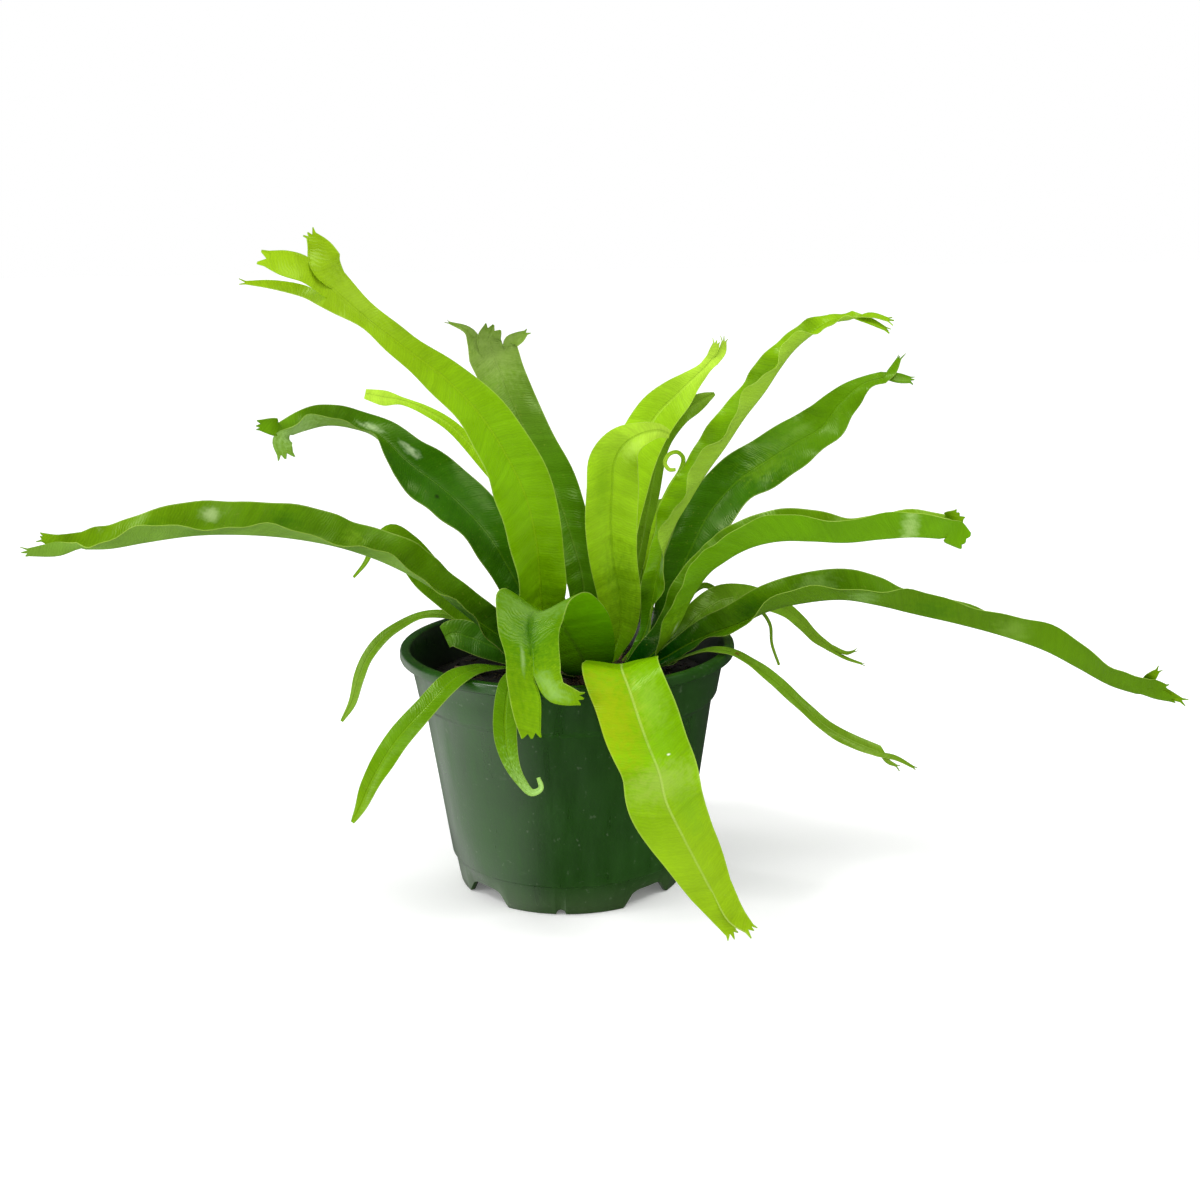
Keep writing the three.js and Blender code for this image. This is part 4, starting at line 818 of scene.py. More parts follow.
def strip_frames(spine, faces, per_station):
    """The middle, the way across, the way up and the half width of each row of a strip."""
    spine = np.array(spine, dtype=float)
    rows = (len(spine) - 1) * per_station
    stations = np.linspace(0, len(spine) - 1, rows + 1)
    middle = curve_points(spine[:, :3], rows)
    along = unit(np.gradient(middle, axis=0))
    at = [face[0] for face in faces]
    face = np.stack([np.interp(stations, at, [f[i] for f in faces]) for i in (1, 2, 3)], axis=1)
    across = unit(smoothed(unit(np.cross(along, face)), per_station))
    up = unit(np.cross(across, along))
    half = smoothed(np.interp(stations, range(len(spine)), spine[:, 3]), per_station)
    length = np.concatenate([[0], np.cumsum(np.linalg.norm(np.diff(middle, axis=0), axis=1))])
    return middle, across, up, half, length


class Sheet:
    """A blade's surface before it gets its thickness: points, their place on the blade, and faces."""

    def __init__(self):
        self.points = []
        self.places = []
        self.faces = []

    def row(self, points, places):
        """Adds a row of points and gives their numbers."""
        first = len(self.points)
        self.points.extend(points)
        self.places.extend(places)
        return list(range(first, first + len(points)))

    def join(self, near, far):
        """Adds the faces between two rows of equal length."""
        for i in range(len(near) - 1):
            self.faces.append((near[i], near[i + 1], far[i + 1], far[i]))


def blade_rows(frond, chance):
    """The rows of a frond's blade, from its stalk to its crest, with the place of each point."""
    middle, across, up, half, length = strip_frames(frond["spine"], frond["faces"], ROWS_PER_STATION)
    columns = frond["columns"]
    u = np.linspace(-1, 1, columns + 1)
    height, waves = frond["ripple"]
    lag = np.where(u > 0, RIPPLE_LAG, 0)
    small_lag = np.where(u > 0, chance.uniform(*SMALL_RIPPLE_LAGS), 0)
    small_waves = waves * chance.uniform(*SMALL_RIPPLE_WAVES)
    starts = [chance.uniform(0, math.tau) for _ in MARGIN_WAVES]
    bow = np.sqrt(u * u + MIDRIB_SOFTNESS)
    stations, negative, positive = np.array(frond["channel"], dtype=float).T
    for i in range(len(middle)):
        share = i / (len(middle) - 1)
        station = share * (len(frond["spine"]) - 1)
        sides = np.radians([np.interp(station, stations, side) for side in (negative, positive)])
        slope = np.where(u < 0, sides[0], sides[1])
        drift = [math.sin(rate * share + start) for rate, start in zip(MARGIN_WAVES, starts)]
        uneven = np.where(u < 0, drift[0] + drift[1], drift[2] + drift[3])
        width = 1 + MARGIN_UNEVENNESS * uneven * np.abs(u)
        full = min(1, half[i] / FULL_RIPPLE_HALF)
        small = np.sin(math.tau * small_waves * share + small_lag)
        wave = height * (u * u * full) * np.sin(math.tau * waves * share + lag)
        wave += SMALL_RIPPLE * height * u ** 4 * full * small
        wave -= MARGIN_ROLL * half[i] * u ** 4
        lateral = u * half[i] * width * np.cos(slope) - np.sign(u) * np.sin(slope) * wave
        lift = half[i] * (bow * np.sin(slope) - 0.5 * np.sin(sides).mean()) + np.cos(slope) * wave
        points = middle[i] + np.outer(lateral, across[i]) + np.outer(lift, up[i])
        places = [(u[j] * half[i], length[i], u[j], share) for j in range(columns + 1)]
        yield points, places


def lobe_rows(sheet, edge, spine, face):
    """The rows of a crest lobe, which leaves the blade's last row along its own spine."""
    start = np.array([sheet.points[i] for i in edge])
    root = (start[0] + start[-1]) / 2
    half_root = max(np.linalg.norm(start[0] - start[-1]) / 2, SMALLEST)
    stations = [(*root, half_root), *spine]
    middle, across, up, half, length = strip_frames(stations, [(0, *face)], LOBE_ROWS_PER_STATION)
    if np.dot(across[0], start[-1] - start[0]) < 0:
        across = -across
    v = np.linspace(-1, 1, len(edge))
    first = [sheet.places[i] for i in edge]
    for i in range(1, len(middle)):
        share = i / (len(middle) - 1)
        turn = float(smoothstep(share / LOBE_TURN))
        own = middle[i] + np.outer(v * half[i], across[i]) + np.outer(LOBE_BOW * half[i] * v * v, up[i])
        carried = middle[i] + (start - root) * (half[i] / half_root)
        places = [
            (side * half[i] / half_root, along + length[i], u, 1 + 0.1 * share)
            for side, along, u, _ in first
        ]
        yield carried + turn * (own - carried), places


def fringe(sheet, edge, along, chance, reach):
    """Short fingers on a lobe's last row, of uneven length and spread."""
    fingers = min(MOST_FINGERS, (len(edge) - 1) // 2)
    if fingers < 2:
        return
    across = unit(sheet.points[edge[-1]] - sheet.points[edge[0]])
    for finger in range(fingers):
        low = finger * (len(edge) - 1) // fingers
        high = (finger + 1) * (len(edge) - 1) // fingers
        row = edge[low:high + 1]
        centre = (sheet.points[row[0]] + sheet.points[row[-1]]) / 2
        side = (finger + 0.5) / fingers - 0.5
        sway = np.array([chance.uniform(-1, 1) for _ in range(3)])
        out = along + across * side * FINGER_SPREAD + sway * FINGER_SWAY
        tip = centre + out * reach * chance.uniform(*FINGER_LENGTHS)
        for share in FINGER_STEPS:
            points = [
                sheet.points[i] * (1 - share) + tip * share
                + (sheet.points[i] - centre) * FINGER_TAPER * share
                for i in row
            ]
            places = [(*sheet.places[i][:3], 1.1 + 0.02 * share) for i in row]
            further = sheet.row(points, places)
            sheet.join(row, further)
            row = further


def frond_sheet(name, frond):
    """A frond's whole surface: its blade, its crest lobes and their fringes."""
    chance = random.Random(name)
    sheet = Sheet()
    row = None
    for points, places in blade_rows(frond, chance):
        further = sheet.row(points, places)
        if row:
            sheet.join(row, further)
        row = further
    face = frond["faces"][-1][1:]
    for (low, high), spine, *own in frond["crest"]:
        edge = row[round(low * frond["columns"]):round(high * frond["columns"]) + 1]
        for points, places in lobe_rows(sheet, edge, spine, own[0] if own else face):
            further = sheet.row(points, places)
            sheet.join(edge, further)
            before, edge = edge, further
        middles = [np.mean([sheet.points[i] for i in line], axis=0) for line in (before, edge)]
        along = unit(middles[1] - middles[0])
        fringe(sheet, edge, along, chance, frond.get("fringe", FINGER_REACH))
    return sheet


def sheet_normals(points, faces):
    """The mean direction that the faces round each point look."""
    points = np.array(points)
    faces = np.array(faces)
    facing = np.cross(points[faces[:, 2]] - points[faces[:, 0]], points[faces[:, 3]] - points[faces[:, 1]])
    normals = np.zeros_like(points)
    for corner in range(4):
        np.add.at(normals, faces[:, corner], facing)
    return unit(normals)


def thick_mesh(name, sheet, materials):
    """A closed mesh from a sheet: an upper and a lower skin, and a narrow band round the margin."""
    points = np.array(sheet.points)
    normals = sheet_normals(points, sheet.faces)
    places = np.array(sheet.places)
    rim = np.clip((np.abs(places[:, 2]) - 0.5) * 2, 0, 1)
    half = BLADE_HALF_THICKNESS * (1 - rim) + MARGIN_HALF_THICKNESS * rim
    keel = KEEL_DEPTH * np.exp(-(places[:, 0] / KEEL_HALF_WIDTH) ** 2) * (places[:, 3] < 1)
    upper = points + normals * half[:, None]
    lower = points - normals * (half + keel)[:, None]
    count = len(points)
    faces = [tuple(face) for face in sheet.faces]
    under = [(d + count, c + count, b + count, a + count) for a, b, c, d in faces]
    edges = {}
    for face in faces:
        edges.update(dict.fromkeys(zip(face, face[1:] + face[:1])))
    band = [(b, a, a + count, b + count) for a, b in edges if (b, a) not in edges]
    mesh = bpy.data.meshes.new(name)
    mesh.from_pydata((np.vstack([upper, lower]) * MM).tolist(), [], faces + under + band)
    for material in materials:
        mesh.materials.append(material)
    sides = [0] * len(faces) + [1] * len(under) + [0] * len(band)
    mesh.polygons.foreach_set("material_index", sides)
    both = np.vstack([places, places])
    place_layer(mesh, "blade", both[:, :2] / BLADE_MAP_UNIT)
    place_layer(mesh, "share", np.stack([both[:, 2] / 2 + 0.5, both[:, 3]], axis=1))
    return finish_mesh(name, mesh)


def place_layer(mesh, name, values):
    """A UV map from one pair of numbers for each vertex."""
    layer = mesh.uv_layers.new(name=name)
    corners = np.empty(len(mesh.loops), dtype=int)
    mesh.loops.foreach_get("vertex_index", corners)
    layer.uv.foreach_set("vector", values[corners].astype(np.float32).ravel())


def finish_mesh(name, mesh, sharp=SHARP_EDGE):
    """A mesh, shaded smooth up to its sharp edges, as an object in the scene."""
    mesh.validate()
    mesh.shade_smooth()
    mesh.set_sharp_from_angle(angle=math.radians(sharp))
    piece = bpy.data.objects.new(name, mesh)
    bpy.context.scene.collection.objects.link(piece)
    return piece


def place_piece(piece, slot, *nodes):
    """Puts a piece under its body and hides the nodes that it stands for; its slot is not used."""
    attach(piece, BODY)
    if nodes:
        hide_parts(*nodes)


class Nodes:
    """Adds nodes to one node tree and links them. Values are sockets or plain numbers."""

    def __init__(self, tree):
        self.tree = tree

    def add(self, kind, values=None, **settings):
        """A new node, with its settings and the values of its inputs."""
        node = self.tree.nodes.new(kind)
        for key, value in settings.items():
            setattr(node, key, value)
        for key, value in (values or {}).items():
            self.put(node.inputs[key], value)
        return node

    def put(self, socket, value):
        if isinstance(value, bpy.types.NodeSocket):
            self.tree.links.new(value, socket)
        else:
            socket.default_value = value

    def math(self, operation, *values):
        return self.add("ShaderNodeMath", dict(enumerate(values)), operation=operation).outputs[0]

    def mix(self, share, first, second, blend="MIX"):
        values = {0: share, 6: first, 7: second}
        return self.add("ShaderNodeMix", values, data_type="RGBA", blend_type=blend).outputs[2]

    def spread(self, value, low, high, to_low=0, to_high=1, form="LINEAR"):
        """A value from low to high spread evenly from to_low to to_high."""
        numbers = dict(enumerate((value, low, high, to_low, to_high)))
        return self.add("ShaderNodeMapRange", numbers, interpolation_type=form).outputs[0]

    def eased(self, value, low, high, to_low=0, to_high=1):
        """As spread, with gentle ends."""
        return self.spread(value, low, high, to_low, to_high, "SMOOTHSTEP")

    def noise(self, vector, scale, detail=3, roughness=0.5):
        values = {"Vector": vector, "Scale": scale, "Detail": detail, "Roughness": roughness}
        return self.add("ShaderNodeTexNoise", values).outputs["Fac"]

    def grey(self, value):
        return self.add("ShaderNodeCombineColor", {"Red": value, "Green": value, "Blue": value}).outputs[0]

    def toned(self, colour, tone):
        """A colour made lighter and darker by a tone round 1."""
        return self.mix(1, colour, tone, "MULTIPLY")

    def split(self, vector):
        return self.add("ShaderNodeSeparateXYZ", {0: vector}).outputs

    def stretched(self, vector, scale):
        return self.add("ShaderNodeMapping", {"Vector": vector, "Scale": scale}).outputs[0]

    def object_place(self):
        return self.add("ShaderNodeTexCoord").outputs["Object"]

    def group(self, name, values):
        """The outputs of one of this file's own node groups."""
        return self.add("ShaderNodeGroup", values, node_tree=GROUPS[name]).outputs


def new_group(name, inputs, outputs):
    """An empty shader node group with named sockets. Inputs are (name, kind, default)."""
    tree = bpy.data.node_groups.new(name, "ShaderNodeTree")
    for label, kind, default in inputs:
        socket = tree.interface.new_socket(label, in_out="INPUT", socket_type=kind)
        if default is not None:
            socket.default_value = default
    for label, kind in outputs:
        tree.interface.new_socket(label, in_out="OUTPUT", socket_type=kind)
    nodes = Nodes(tree)
    return nodes, nodes.add("NodeGroupInput").outputs, nodes.add("NodeGroupOutput")


def vein_group():
    """Fine side veins that leave the midrib at an angle, and the groove of the midrib."""
    nodes, given, result = new_group(
        "leaf_veins",
        [("Blade", "NodeSocketVector", None), ("Spacing", "NodeSocketFloat", 1.3),
         ("Lean", "NodeSocketFloat", 0.45), ("Midrib", "NodeSocketFloat", 0.8)],
        [("Vein", "NodeSocketFloat"), ("Band", "NodeSocketFloat"), ("Pleat", "NodeSocketFloat"),
         ("Midrib", "NodeSocketFloat")],
    )
    split = nodes.split(given["Blade"])
    across = nodes.math("MULTIPLY", split[0], BLADE_MAP_UNIT)
    along = nodes.math("MULTIPLY", split[1], BLADE_MAP_UNIT)
    side = nodes.math("ABSOLUTE", across)
    slanted = nodes.math("ADD", along, nodes.math("MULTIPLY", side, given["Lean"]))
    warp = nodes.math("MULTIPLY", nodes.noise(given["Blade"], 14, 2), 5)
    phase = nodes.math("DIVIDE", nodes.math("ADD", slanted, warp), given["Spacing"])
    wave = nodes.math("SINE", nodes.math("MULTIPLY", phase, math.tau))
    nodes.put(result.inputs["Vein"], nodes.math("MULTIPLY_ADD", wave, 0.5, 0.5))
    stripe = nodes.add("ShaderNodeCombineXYZ", {0: nodes.math("MULTIPLY", side, 0.02), 1: slanted})
    nodes.put(result.inputs["Band"], nodes.noise(stripe.outputs[0], 0.35, 4, 0.65))
    nodes.put(result.inputs["Pleat"], nodes.noise(stripe.outputs[0], 0.09, 1))
    nodes.put(result.inputs["Midrib"], nodes.eased(side, 0.3, given["Midrib"], 1, 0))
    return nodes.tree


def patch_group():
    """A soft oval patch at one place of the blade, as a mask."""
    nodes, given, result = new_group(
        "leaf_patch",
        [("Share", "NodeSocketVector", None), ("Across", "NodeSocketFloat", 0.5),
         ("Along", "NodeSocketFloat", 0.5), ("Width", "NodeSocketFloat", 0.2),
         ("Length", "NodeSocketFloat", 0.05)],
        [("Mask", "NodeSocketFloat")],
    )
    split = nodes.split(given["Share"])
    x = nodes.math("DIVIDE", nodes.math("SUBTRACT", split[0], given["Across"]), given["Width"])
    y = nodes.math("DIVIDE", nodes.math("SUBTRACT", split[1], given["Along"]), given["Length"])
    distance = nodes.math("SQRT", nodes.math("ADD", nodes.math("POWER", x, 2), nodes.math("POWER", y, 2)))
    cloud = nodes.noise(nodes.stretched(given["Share"], (14, 60, 1)), 1, 3)
    ragged = nodes.math("MULTIPLY_ADD", cloud, 1.6, -0.8)
    nodes.put(result.inputs["Mask"], nodes.eased(nodes.math("ADD", distance, ragged), 1.25, 0, 0, 1))
    return nodes.tree


def mottle_group():
    """Uneven tone from the object's own coordinates: broad clouds and fine specks."""
    nodes, given, result = new_group(
        "mottle",
        [("Scale", "NodeSocketFloat", 30.0), ("Low", "NodeSocketFloat", 0.85),
         ("High", "NodeSocketFloat", 1.12)],
        [("Tone", "NodeSocketColor"), ("Cloud", "NodeSocketFloat"), ("Speck", "NodeSocketFloat")],
    )
    place = nodes.object_place()
    cloud = nodes.noise(place, given["Scale"], 4, 0.6)
    nodes.put(result.inputs["Cloud"], cloud)
    tone = nodes.spread(cloud, 0.3, 0.7, given["Low"], given["High"])
    nodes.put(result.inputs["Tone"], nodes.grey(tone))
    speck = nodes.noise(place, nodes.math("MULTIPLY", given["Scale"], 22), 2, 0.5)
    nodes.put(result.inputs["Speck"], nodes.eased(speck, 0.66, 0.74, 0, 1))
    return nodes.tree


def new_material(name):
    """An empty node material: its nodes and its Principled shader."""
    material = bpy.data.materials.new(name)
    material.use_nodes = True
    nodes = Nodes(material.node_tree)
    return material, nodes, material.node_tree.nodes["Principled BSDF"]


def bump(nodes, height, distance):
    """A surface's relief from a height and its depth in metres."""
    values = {"Height": height, "Distance": distance, "Strength": 1.0}
    return nodes.add("ShaderNodeBump", values).outputs["Normal"]


def leaf_top(name, frond, looks):
    """The upper side of a frond: base to tip colours, veins, midrib, pale margin, and patches of painted
    highlight, shade and marks.
    """
    base, body, tip = LEAVES[frond["leaf"]]
    material, nodes, shader = new_material(name + "_upper")
    blade = nodes.add("ShaderNodeUVMap", uv_map="blade").outputs[0]
    share = nodes.add("ShaderNodeUVMap", uv_map="share").outputs[0]
    split = nodes.split(share)
    veins = nodes.group("veins", {"Blade": blade, "Spacing": looks.vein_spacing})
    tone = nodes.group("mottle", {"Scale": 34.0, "Low": 0.82, "High": 1.14})
    colour = nodes.mix(nodes.eased(split[1], *LEAF_BASE_ENDS), base, body)
    colour = nodes.mix(nodes.eased(split[1], 0.55, 1), colour, tip)
    colour = nodes.toned(colour, tone["Tone"])
    band = nodes.grey(nodes.spread(veins["Band"], 0.3, 0.7, 0.9, 1.08))
    colour = nodes.toned(colour, band)
    line = nodes.grey(nodes.spread(veins["Vein"], 0, 1, 1.03, 0.95))
    colour = nodes.toned(colour, line)
    colour = nodes.mix(nodes.math("MULTIPLY", veins["Midrib"], 0.3), colour, frond.get("rib", tip))
    edge = nodes.math("ABSOLUTE", nodes.math("MULTIPLY_ADD", split[0], 2, -1))
    colour = nodes.mix(nodes.eased(edge, 0.95, 1, 0, 0.4), colour, PALE_MARGIN)
    colour = nodes.mix(nodes.math("MULTIPLY", tone["Speck"], 0.25), colour, LEAF_SPECK)
    # The patches paint highlights, sheen and shade into the colour, besides real spots and scars.
    colour = patched(nodes, colour, share, frond.get("patches", ()))
    rough = looks.leaf_roughness
    nodes.put(shader.inputs["Base Color"], colour)
    nodes.put(shader.inputs["Roughness"], nodes.spread(tone["Cloud"], 0.3, 0.7, rough - 0.07, rough + 0.1))
    shader.inputs["Specular IOR Level"].default_value = LEAF_TOP_GLOSS
    shader.inputs["Specular Tint"].default_value = LEAF_GLOSS_TINT
    groove = nodes.math("MULTIPLY_ADD", veins["Midrib"], -1.0, nodes.math("MULTIPLY", veins["Vein"], 0.2))
    height = nodes.math("ADD", groove, nodes.math("MULTIPLY", veins["Band"], 0.6))
    height = nodes.math("MULTIPLY_ADD", veins["Pleat"], PLEAT_HEIGHT, height)
    nodes.put(shader.inputs["Normal"], bump(nodes, height, LEAF_RELIEF))
    return material


def patched(nodes, colour, share, patches):
    """A leaf's colour with its own soft patches: painted highlights, sheen and shade, and scars, spots and
    paler tips.
    """
    for across, along, width, length, tint, strength in patches:
        mask = nodes.group("patch", {
            "Share": share, "Across": across, "Along": along, "Width": width, "Length": length,
        })["Mask"]
        colour = nodes.mix(nodes.math("MULTIPLY", mask, strength), colour, tint)
    return colour


def leaf_under(name, frond, looks):
    """The underside of a frond: paler and duller, with a keel, and darker at its base."""
    base, under = LEAVES[frond["leaf"]][0], UNDERSIDES[frond.get("under", "grey_green")]
    material, nodes, shader = new_material(name + "_under")
    blade = nodes.add("ShaderNodeUVMap", uv_map="blade").outputs[0]
    share = nodes.add("ShaderNodeUVMap", uv_map="share").outputs[0]
    along = nodes.split(share)[1]
    veins = nodes.group("veins", {"Blade": blade, "Spacing": looks.vein_spacing, "Midrib": 1.3})
    tone = nodes.group("mottle", {"Scale": 38.0, "Low": 0.86, "High": 1.1})
    colour = nodes.mix(nodes.eased(along, 0.02, 0.3), base, under)
    colour = nodes.toned(colour, tone["Tone"])
    band = nodes.grey(nodes.spread(veins["Band"], 0.3, 0.7, 0.92, 1.06))
    colour = nodes.toned(colour, band)
    colour = nodes.mix(nodes.math("MULTIPLY", veins["Midrib"], 0.25), colour, KEEL_BROWN)
    # The underside patches paint light and shade into the colour, besides real marks.
    colour = patched(nodes, colour, share, frond.get("under_patches", ()))
    nodes.put(shader.inputs["Base Color"], colour)
    nodes.put(shader.inputs["Roughness"], nodes.spread(tone["Cloud"], 0.3, 0.7, 0.42, 0.58))
    shader.inputs["Specular IOR Level"].default_value = LEAF_UNDER_GLOSS
    shader.inputs["Specular Tint"].default_value = LEAF_GLOSS_TINT
    height = nodes.math("MULTIPLY_ADD", veins["Vein"], 0.4, nodes.math("MULTIPLY", veins["Band"], 0.5))
    height = nodes.math("MULTIPLY_ADD", veins["Pleat"], PLEAT_HEIGHT, height)
    nodes.put(shader.inputs["Normal"], bump(nodes, height, LEAF_RELIEF))
    return material


def pot_plastic(looks):
    """Satin green moulded plastic with upright flow streaks, pale scuffs, dust and painted shade inside.
    """
    material, nodes, shader = new_material("pot_plastic")
    place = nodes.object_place()
    height = nodes.split(place)[2]
    tone = nodes.group("mottle", {"Scale": 16.0, "Low": 0.8, "High": 1.25})
    streak = nodes.noise(nodes.stretched(place, (1, 1, 0.06)), 150, 3, 0.6)
    scuffed = nodes.noise(nodes.stretched(place, (1, 1, 2.5)), 60, 6, 0.75)
    scuff = nodes.eased(scuffed, 0.6, 0.78, 0, 0.14)
    dust = nodes.math("MULTIPLY", nodes.eased(height, 0.02, 0, 0, 0.3), tone["Cloud"])
    # Painted shade: faces that look inward are darkened, a little less near the rim.
    normal = nodes.add("ShaderNodeNewGeometry").outputs["Normal"]
    turned = nodes.add("ShaderNodeVectorMath", {0: normal, 1: place}, operation="DOT_PRODUCT")
    inward_shade = nodes.eased(turned.outputs["Value"], -0.004, -0.02)
    inside = nodes.math("MULTIPLY", inward_shade, nodes.spread(height, 0.1, 0.116, 1, 0.7))
    colour = nodes.toned(tuple(looks.colour), tone["Tone"])
    colour = nodes.toned(colour, nodes.grey(nodes.spread(streak, 0.3, 0.7, 0.85, 1.2)))
    colour = nodes.mix(scuff, colour, SCUFF)
    colour = nodes.mix(dust, colour, FOOT_DUST)
    colour = nodes.mix(nodes.math("MULTIPLY", tone["Speck"], 0.12), colour, POT_SPECK)
    colour = nodes.mix(inside, colour, POT_INSIDE_SHADE)
    worn = nodes.math("ADD", streak, scuff)
    rough = looks.roughness
    nodes.put(shader.inputs["Base Color"], colour)
    nodes.put(shader.inputs["Roughness"], nodes.spread(worn, 0.3, 0.8, rough - 0.06, rough + 0.12))
    relief = nodes.math("ADD", nodes.noise(place, 900, 2), streak)
    nodes.put(shader.inputs["Normal"], bump(nodes, relief, POT_RELIEF))
    return material


def earth(name, dark, light, scale, rough_low):
    """Rough natural matter, such as moist mix, bark or a dry stalk, between two colours."""
    material, nodes, shader = new_material(name)
    place = nodes.object_place()
    tone = nodes.group("mottle", {"Scale": scale, "Low": 0.6, "High": 1.3})
    grain = nodes.noise(place, scale * 9, 6, 0.7)
    colour = nodes.mix(nodes.spread(grain, 0.4, 0.66), dark, light)
    colour = nodes.toned(colour, tone["Tone"])
    nodes.put(shader.inputs["Base Color"], colour)
    nodes.put(shader.inputs["Roughness"], nodes.spread(grain, 0.3, 0.7, rough_low, 0.98))
    nodes.put(shader.inputs["Normal"], bump(nodes, grain, EARTH_RELIEF))
    return material


def plain_mesh(name, points, faces, material, sharp=SHARP_EDGE):
    """A piece from points in millimetres."""
    mesh = bpy.data.meshes.new(name)
    mesh.from_pydata((np.array(points) * MM).tolist(), [], faces)
    mesh.materials.append(material)
    return finish_mesh(name, mesh, sharp)


def angles_round():
    """Turns round the pot in degrees, closer together at the arches and the notches."""
    turns = set(range(0, 360, EVEN_TURN))
    for first, step, steps in FINE_TURNS:
        for middle in range(first, first + 360, QUARTER):
            turns.update(round((middle + step * i) % 360, 2) for i in range(-steps, steps + 1))
    ordered = sorted(turns)
    kept = [ordered[0]]
    for turn in ordered[1:]:
        if turn - kept[-1] > CLOSEST_TURNS:
            kept.append(turn)
    return kept


def away_from(turn, first):
    """Degrees from a turn to the nearest of four places a quarter apart."""
    return abs((turn - first + QUARTER / 2) % QUARTER - QUARTER / 2)


def foot_lift(turn):
    """How far the foot is cut away at a turn, by an arch or by a notch."""
    away = away_from(turn, ARCH_TURN)
    shoulder = ARCH_HALF_WIDTH * ARCH_SHOULDER
    flat = ARCH_HALF_WIDTH * ARCH_FLAT
    low = ARCH_HEIGHT - ARCH_CROWN
    if away < flat:
        return ARCH_HEIGHT
    if away < shoulder:
        return ARCH_HEIGHT - ARCH_CROWN * ((away - flat) / (shoulder - flat)) ** 2
    if away < ARCH_HALF_WIDTH:
        return low * (ARCH_HALF_WIDTH - away) / (ARCH_HALF_WIDTH - shoulder)
    across = math.radians(away_from(turn, NOTCH_TURN)) * FOOT_RADIUS
    return math.sqrt(max(0, NOTCH_RADIUS ** 2 - across ** 2))


def pot_profile():
    """The pot's section as (radius, height) points: the underside, the outside, then the inside."""
    lip = POT_HEIGHT - LIP_DROP
    under = [
        (CHANNEL_RADIUS, 0), (CHANNEL_RADIUS + 0.4, 0.5), (CHANNEL_RADIUS + 1.6, CHANNEL_HEIGHT - 0.4),
        (CHANNEL_RADIUS + 2.2, CHANNEL_HEIGHT), (SLOT_RADII[0], CHANNEL_HEIGHT),
        (SLOT_RADII[1], CHANNEL_HEIGHT), (FOOT_RADIUS - FOOT_WIDTH - 0.6, CHANNEL_HEIGHT),
    ]
    foot = [
        (FOOT_RADIUS - FOOT_WIDTH, 0.4), (FOOT_RADIUS - FOOT_WIDTH + 0.4, 0), (FOOT_RADIUS - 0.4, 0),
        (FOOT_RADIUS, 0.4), (FOOT_RADIUS + 0.9, 5), (FOOT_RADIUS + 1.8, 10),
    ]
    outside = [
        (BASE_BAND_RADIUS - 0.1, BAND_TOP), (BASE_BAND_RADIUS + 0.1, BASE_LINE - 0.8),
        (BASE_LINE_RADIUS - 0.3, BASE_LINE - 0.2), (BASE_LINE_RADIUS, BASE_LINE + 0.4),
        (63.1, 36), (66, 56), (68.8, 75), (STEP_RADIUS - 0.1, STEP_BOTTOM - 0.6),
        (STEP_RADIUS + 0.3, STEP_BOTTOM + 0.2), (COLLAR_RADIUS - 0.5, COLLAR_BOTTOM - 0.7),
        (COLLAR_RADIUS, COLLAR_BOTTOM + 0.3), (75.6, 105), (COLLAR_TOP_RADIUS - 0.1, lip - 1.2),
        (COLLAR_TOP_RADIUS + 0.4, lip - 0.5), (RIM_RADIUS - 1, lip - 0.1), (RIM_RADIUS - 0.3, lip + 0.3),
        (RIM_RADIUS, lip + 1), (RIM_RADIUS, POT_HEIGHT - 1.9), (RIM_RADIUS - 0.25, POT_HEIGHT - 0.9),
        (RIM_RADIUS - 0.8, POT_HEIGHT - 0.25), (RIM_RADIUS - 1.6, POT_HEIGHT),
        (OPENING_RADIUS + 1.3, POT_HEIGHT), (OPENING_RADIUS + 0.5, POT_HEIGHT - 0.3),
        (OPENING_RADIUS, POT_HEIGHT - 1),
    ]
    inside = [
        (OPENING_RADIUS - 1.2, lip), (COLLAR_RADIUS - WALL + 0.2, COLLAR_BOTTOM + 0.6),
        (COLLAR_RADIUS - WALL - 0.4, COLLAR_BOTTOM - 0.4), (STEP_RADIUS - WALL, STEP_BOTTOM),
        (64.5, 60), (BASE_BAND_RADIUS - WALL, CHANNEL_HEIGHT + FLOOR + 1),
        (BASE_BAND_RADIUS - WALL - 1, CHANNEL_HEIGHT + FLOOR), (SLOT_RADII[1], CHANNEL_HEIGHT + FLOOR),
        (SLOT_RADII[0], CHANNEL_HEIGHT + FLOOR), (CHANNEL_RADIUS + 1, CHANNEL_HEIGHT + FLOOR),
        (CHANNEL_RADIUS - 1, FLOOR + 0.4), (CHANNEL_RADIUS - 1.6, FLOOR),
    ]
    lifted = range(len(under), len(under) + len(foot))
    return under + foot + outside + inside, lifted


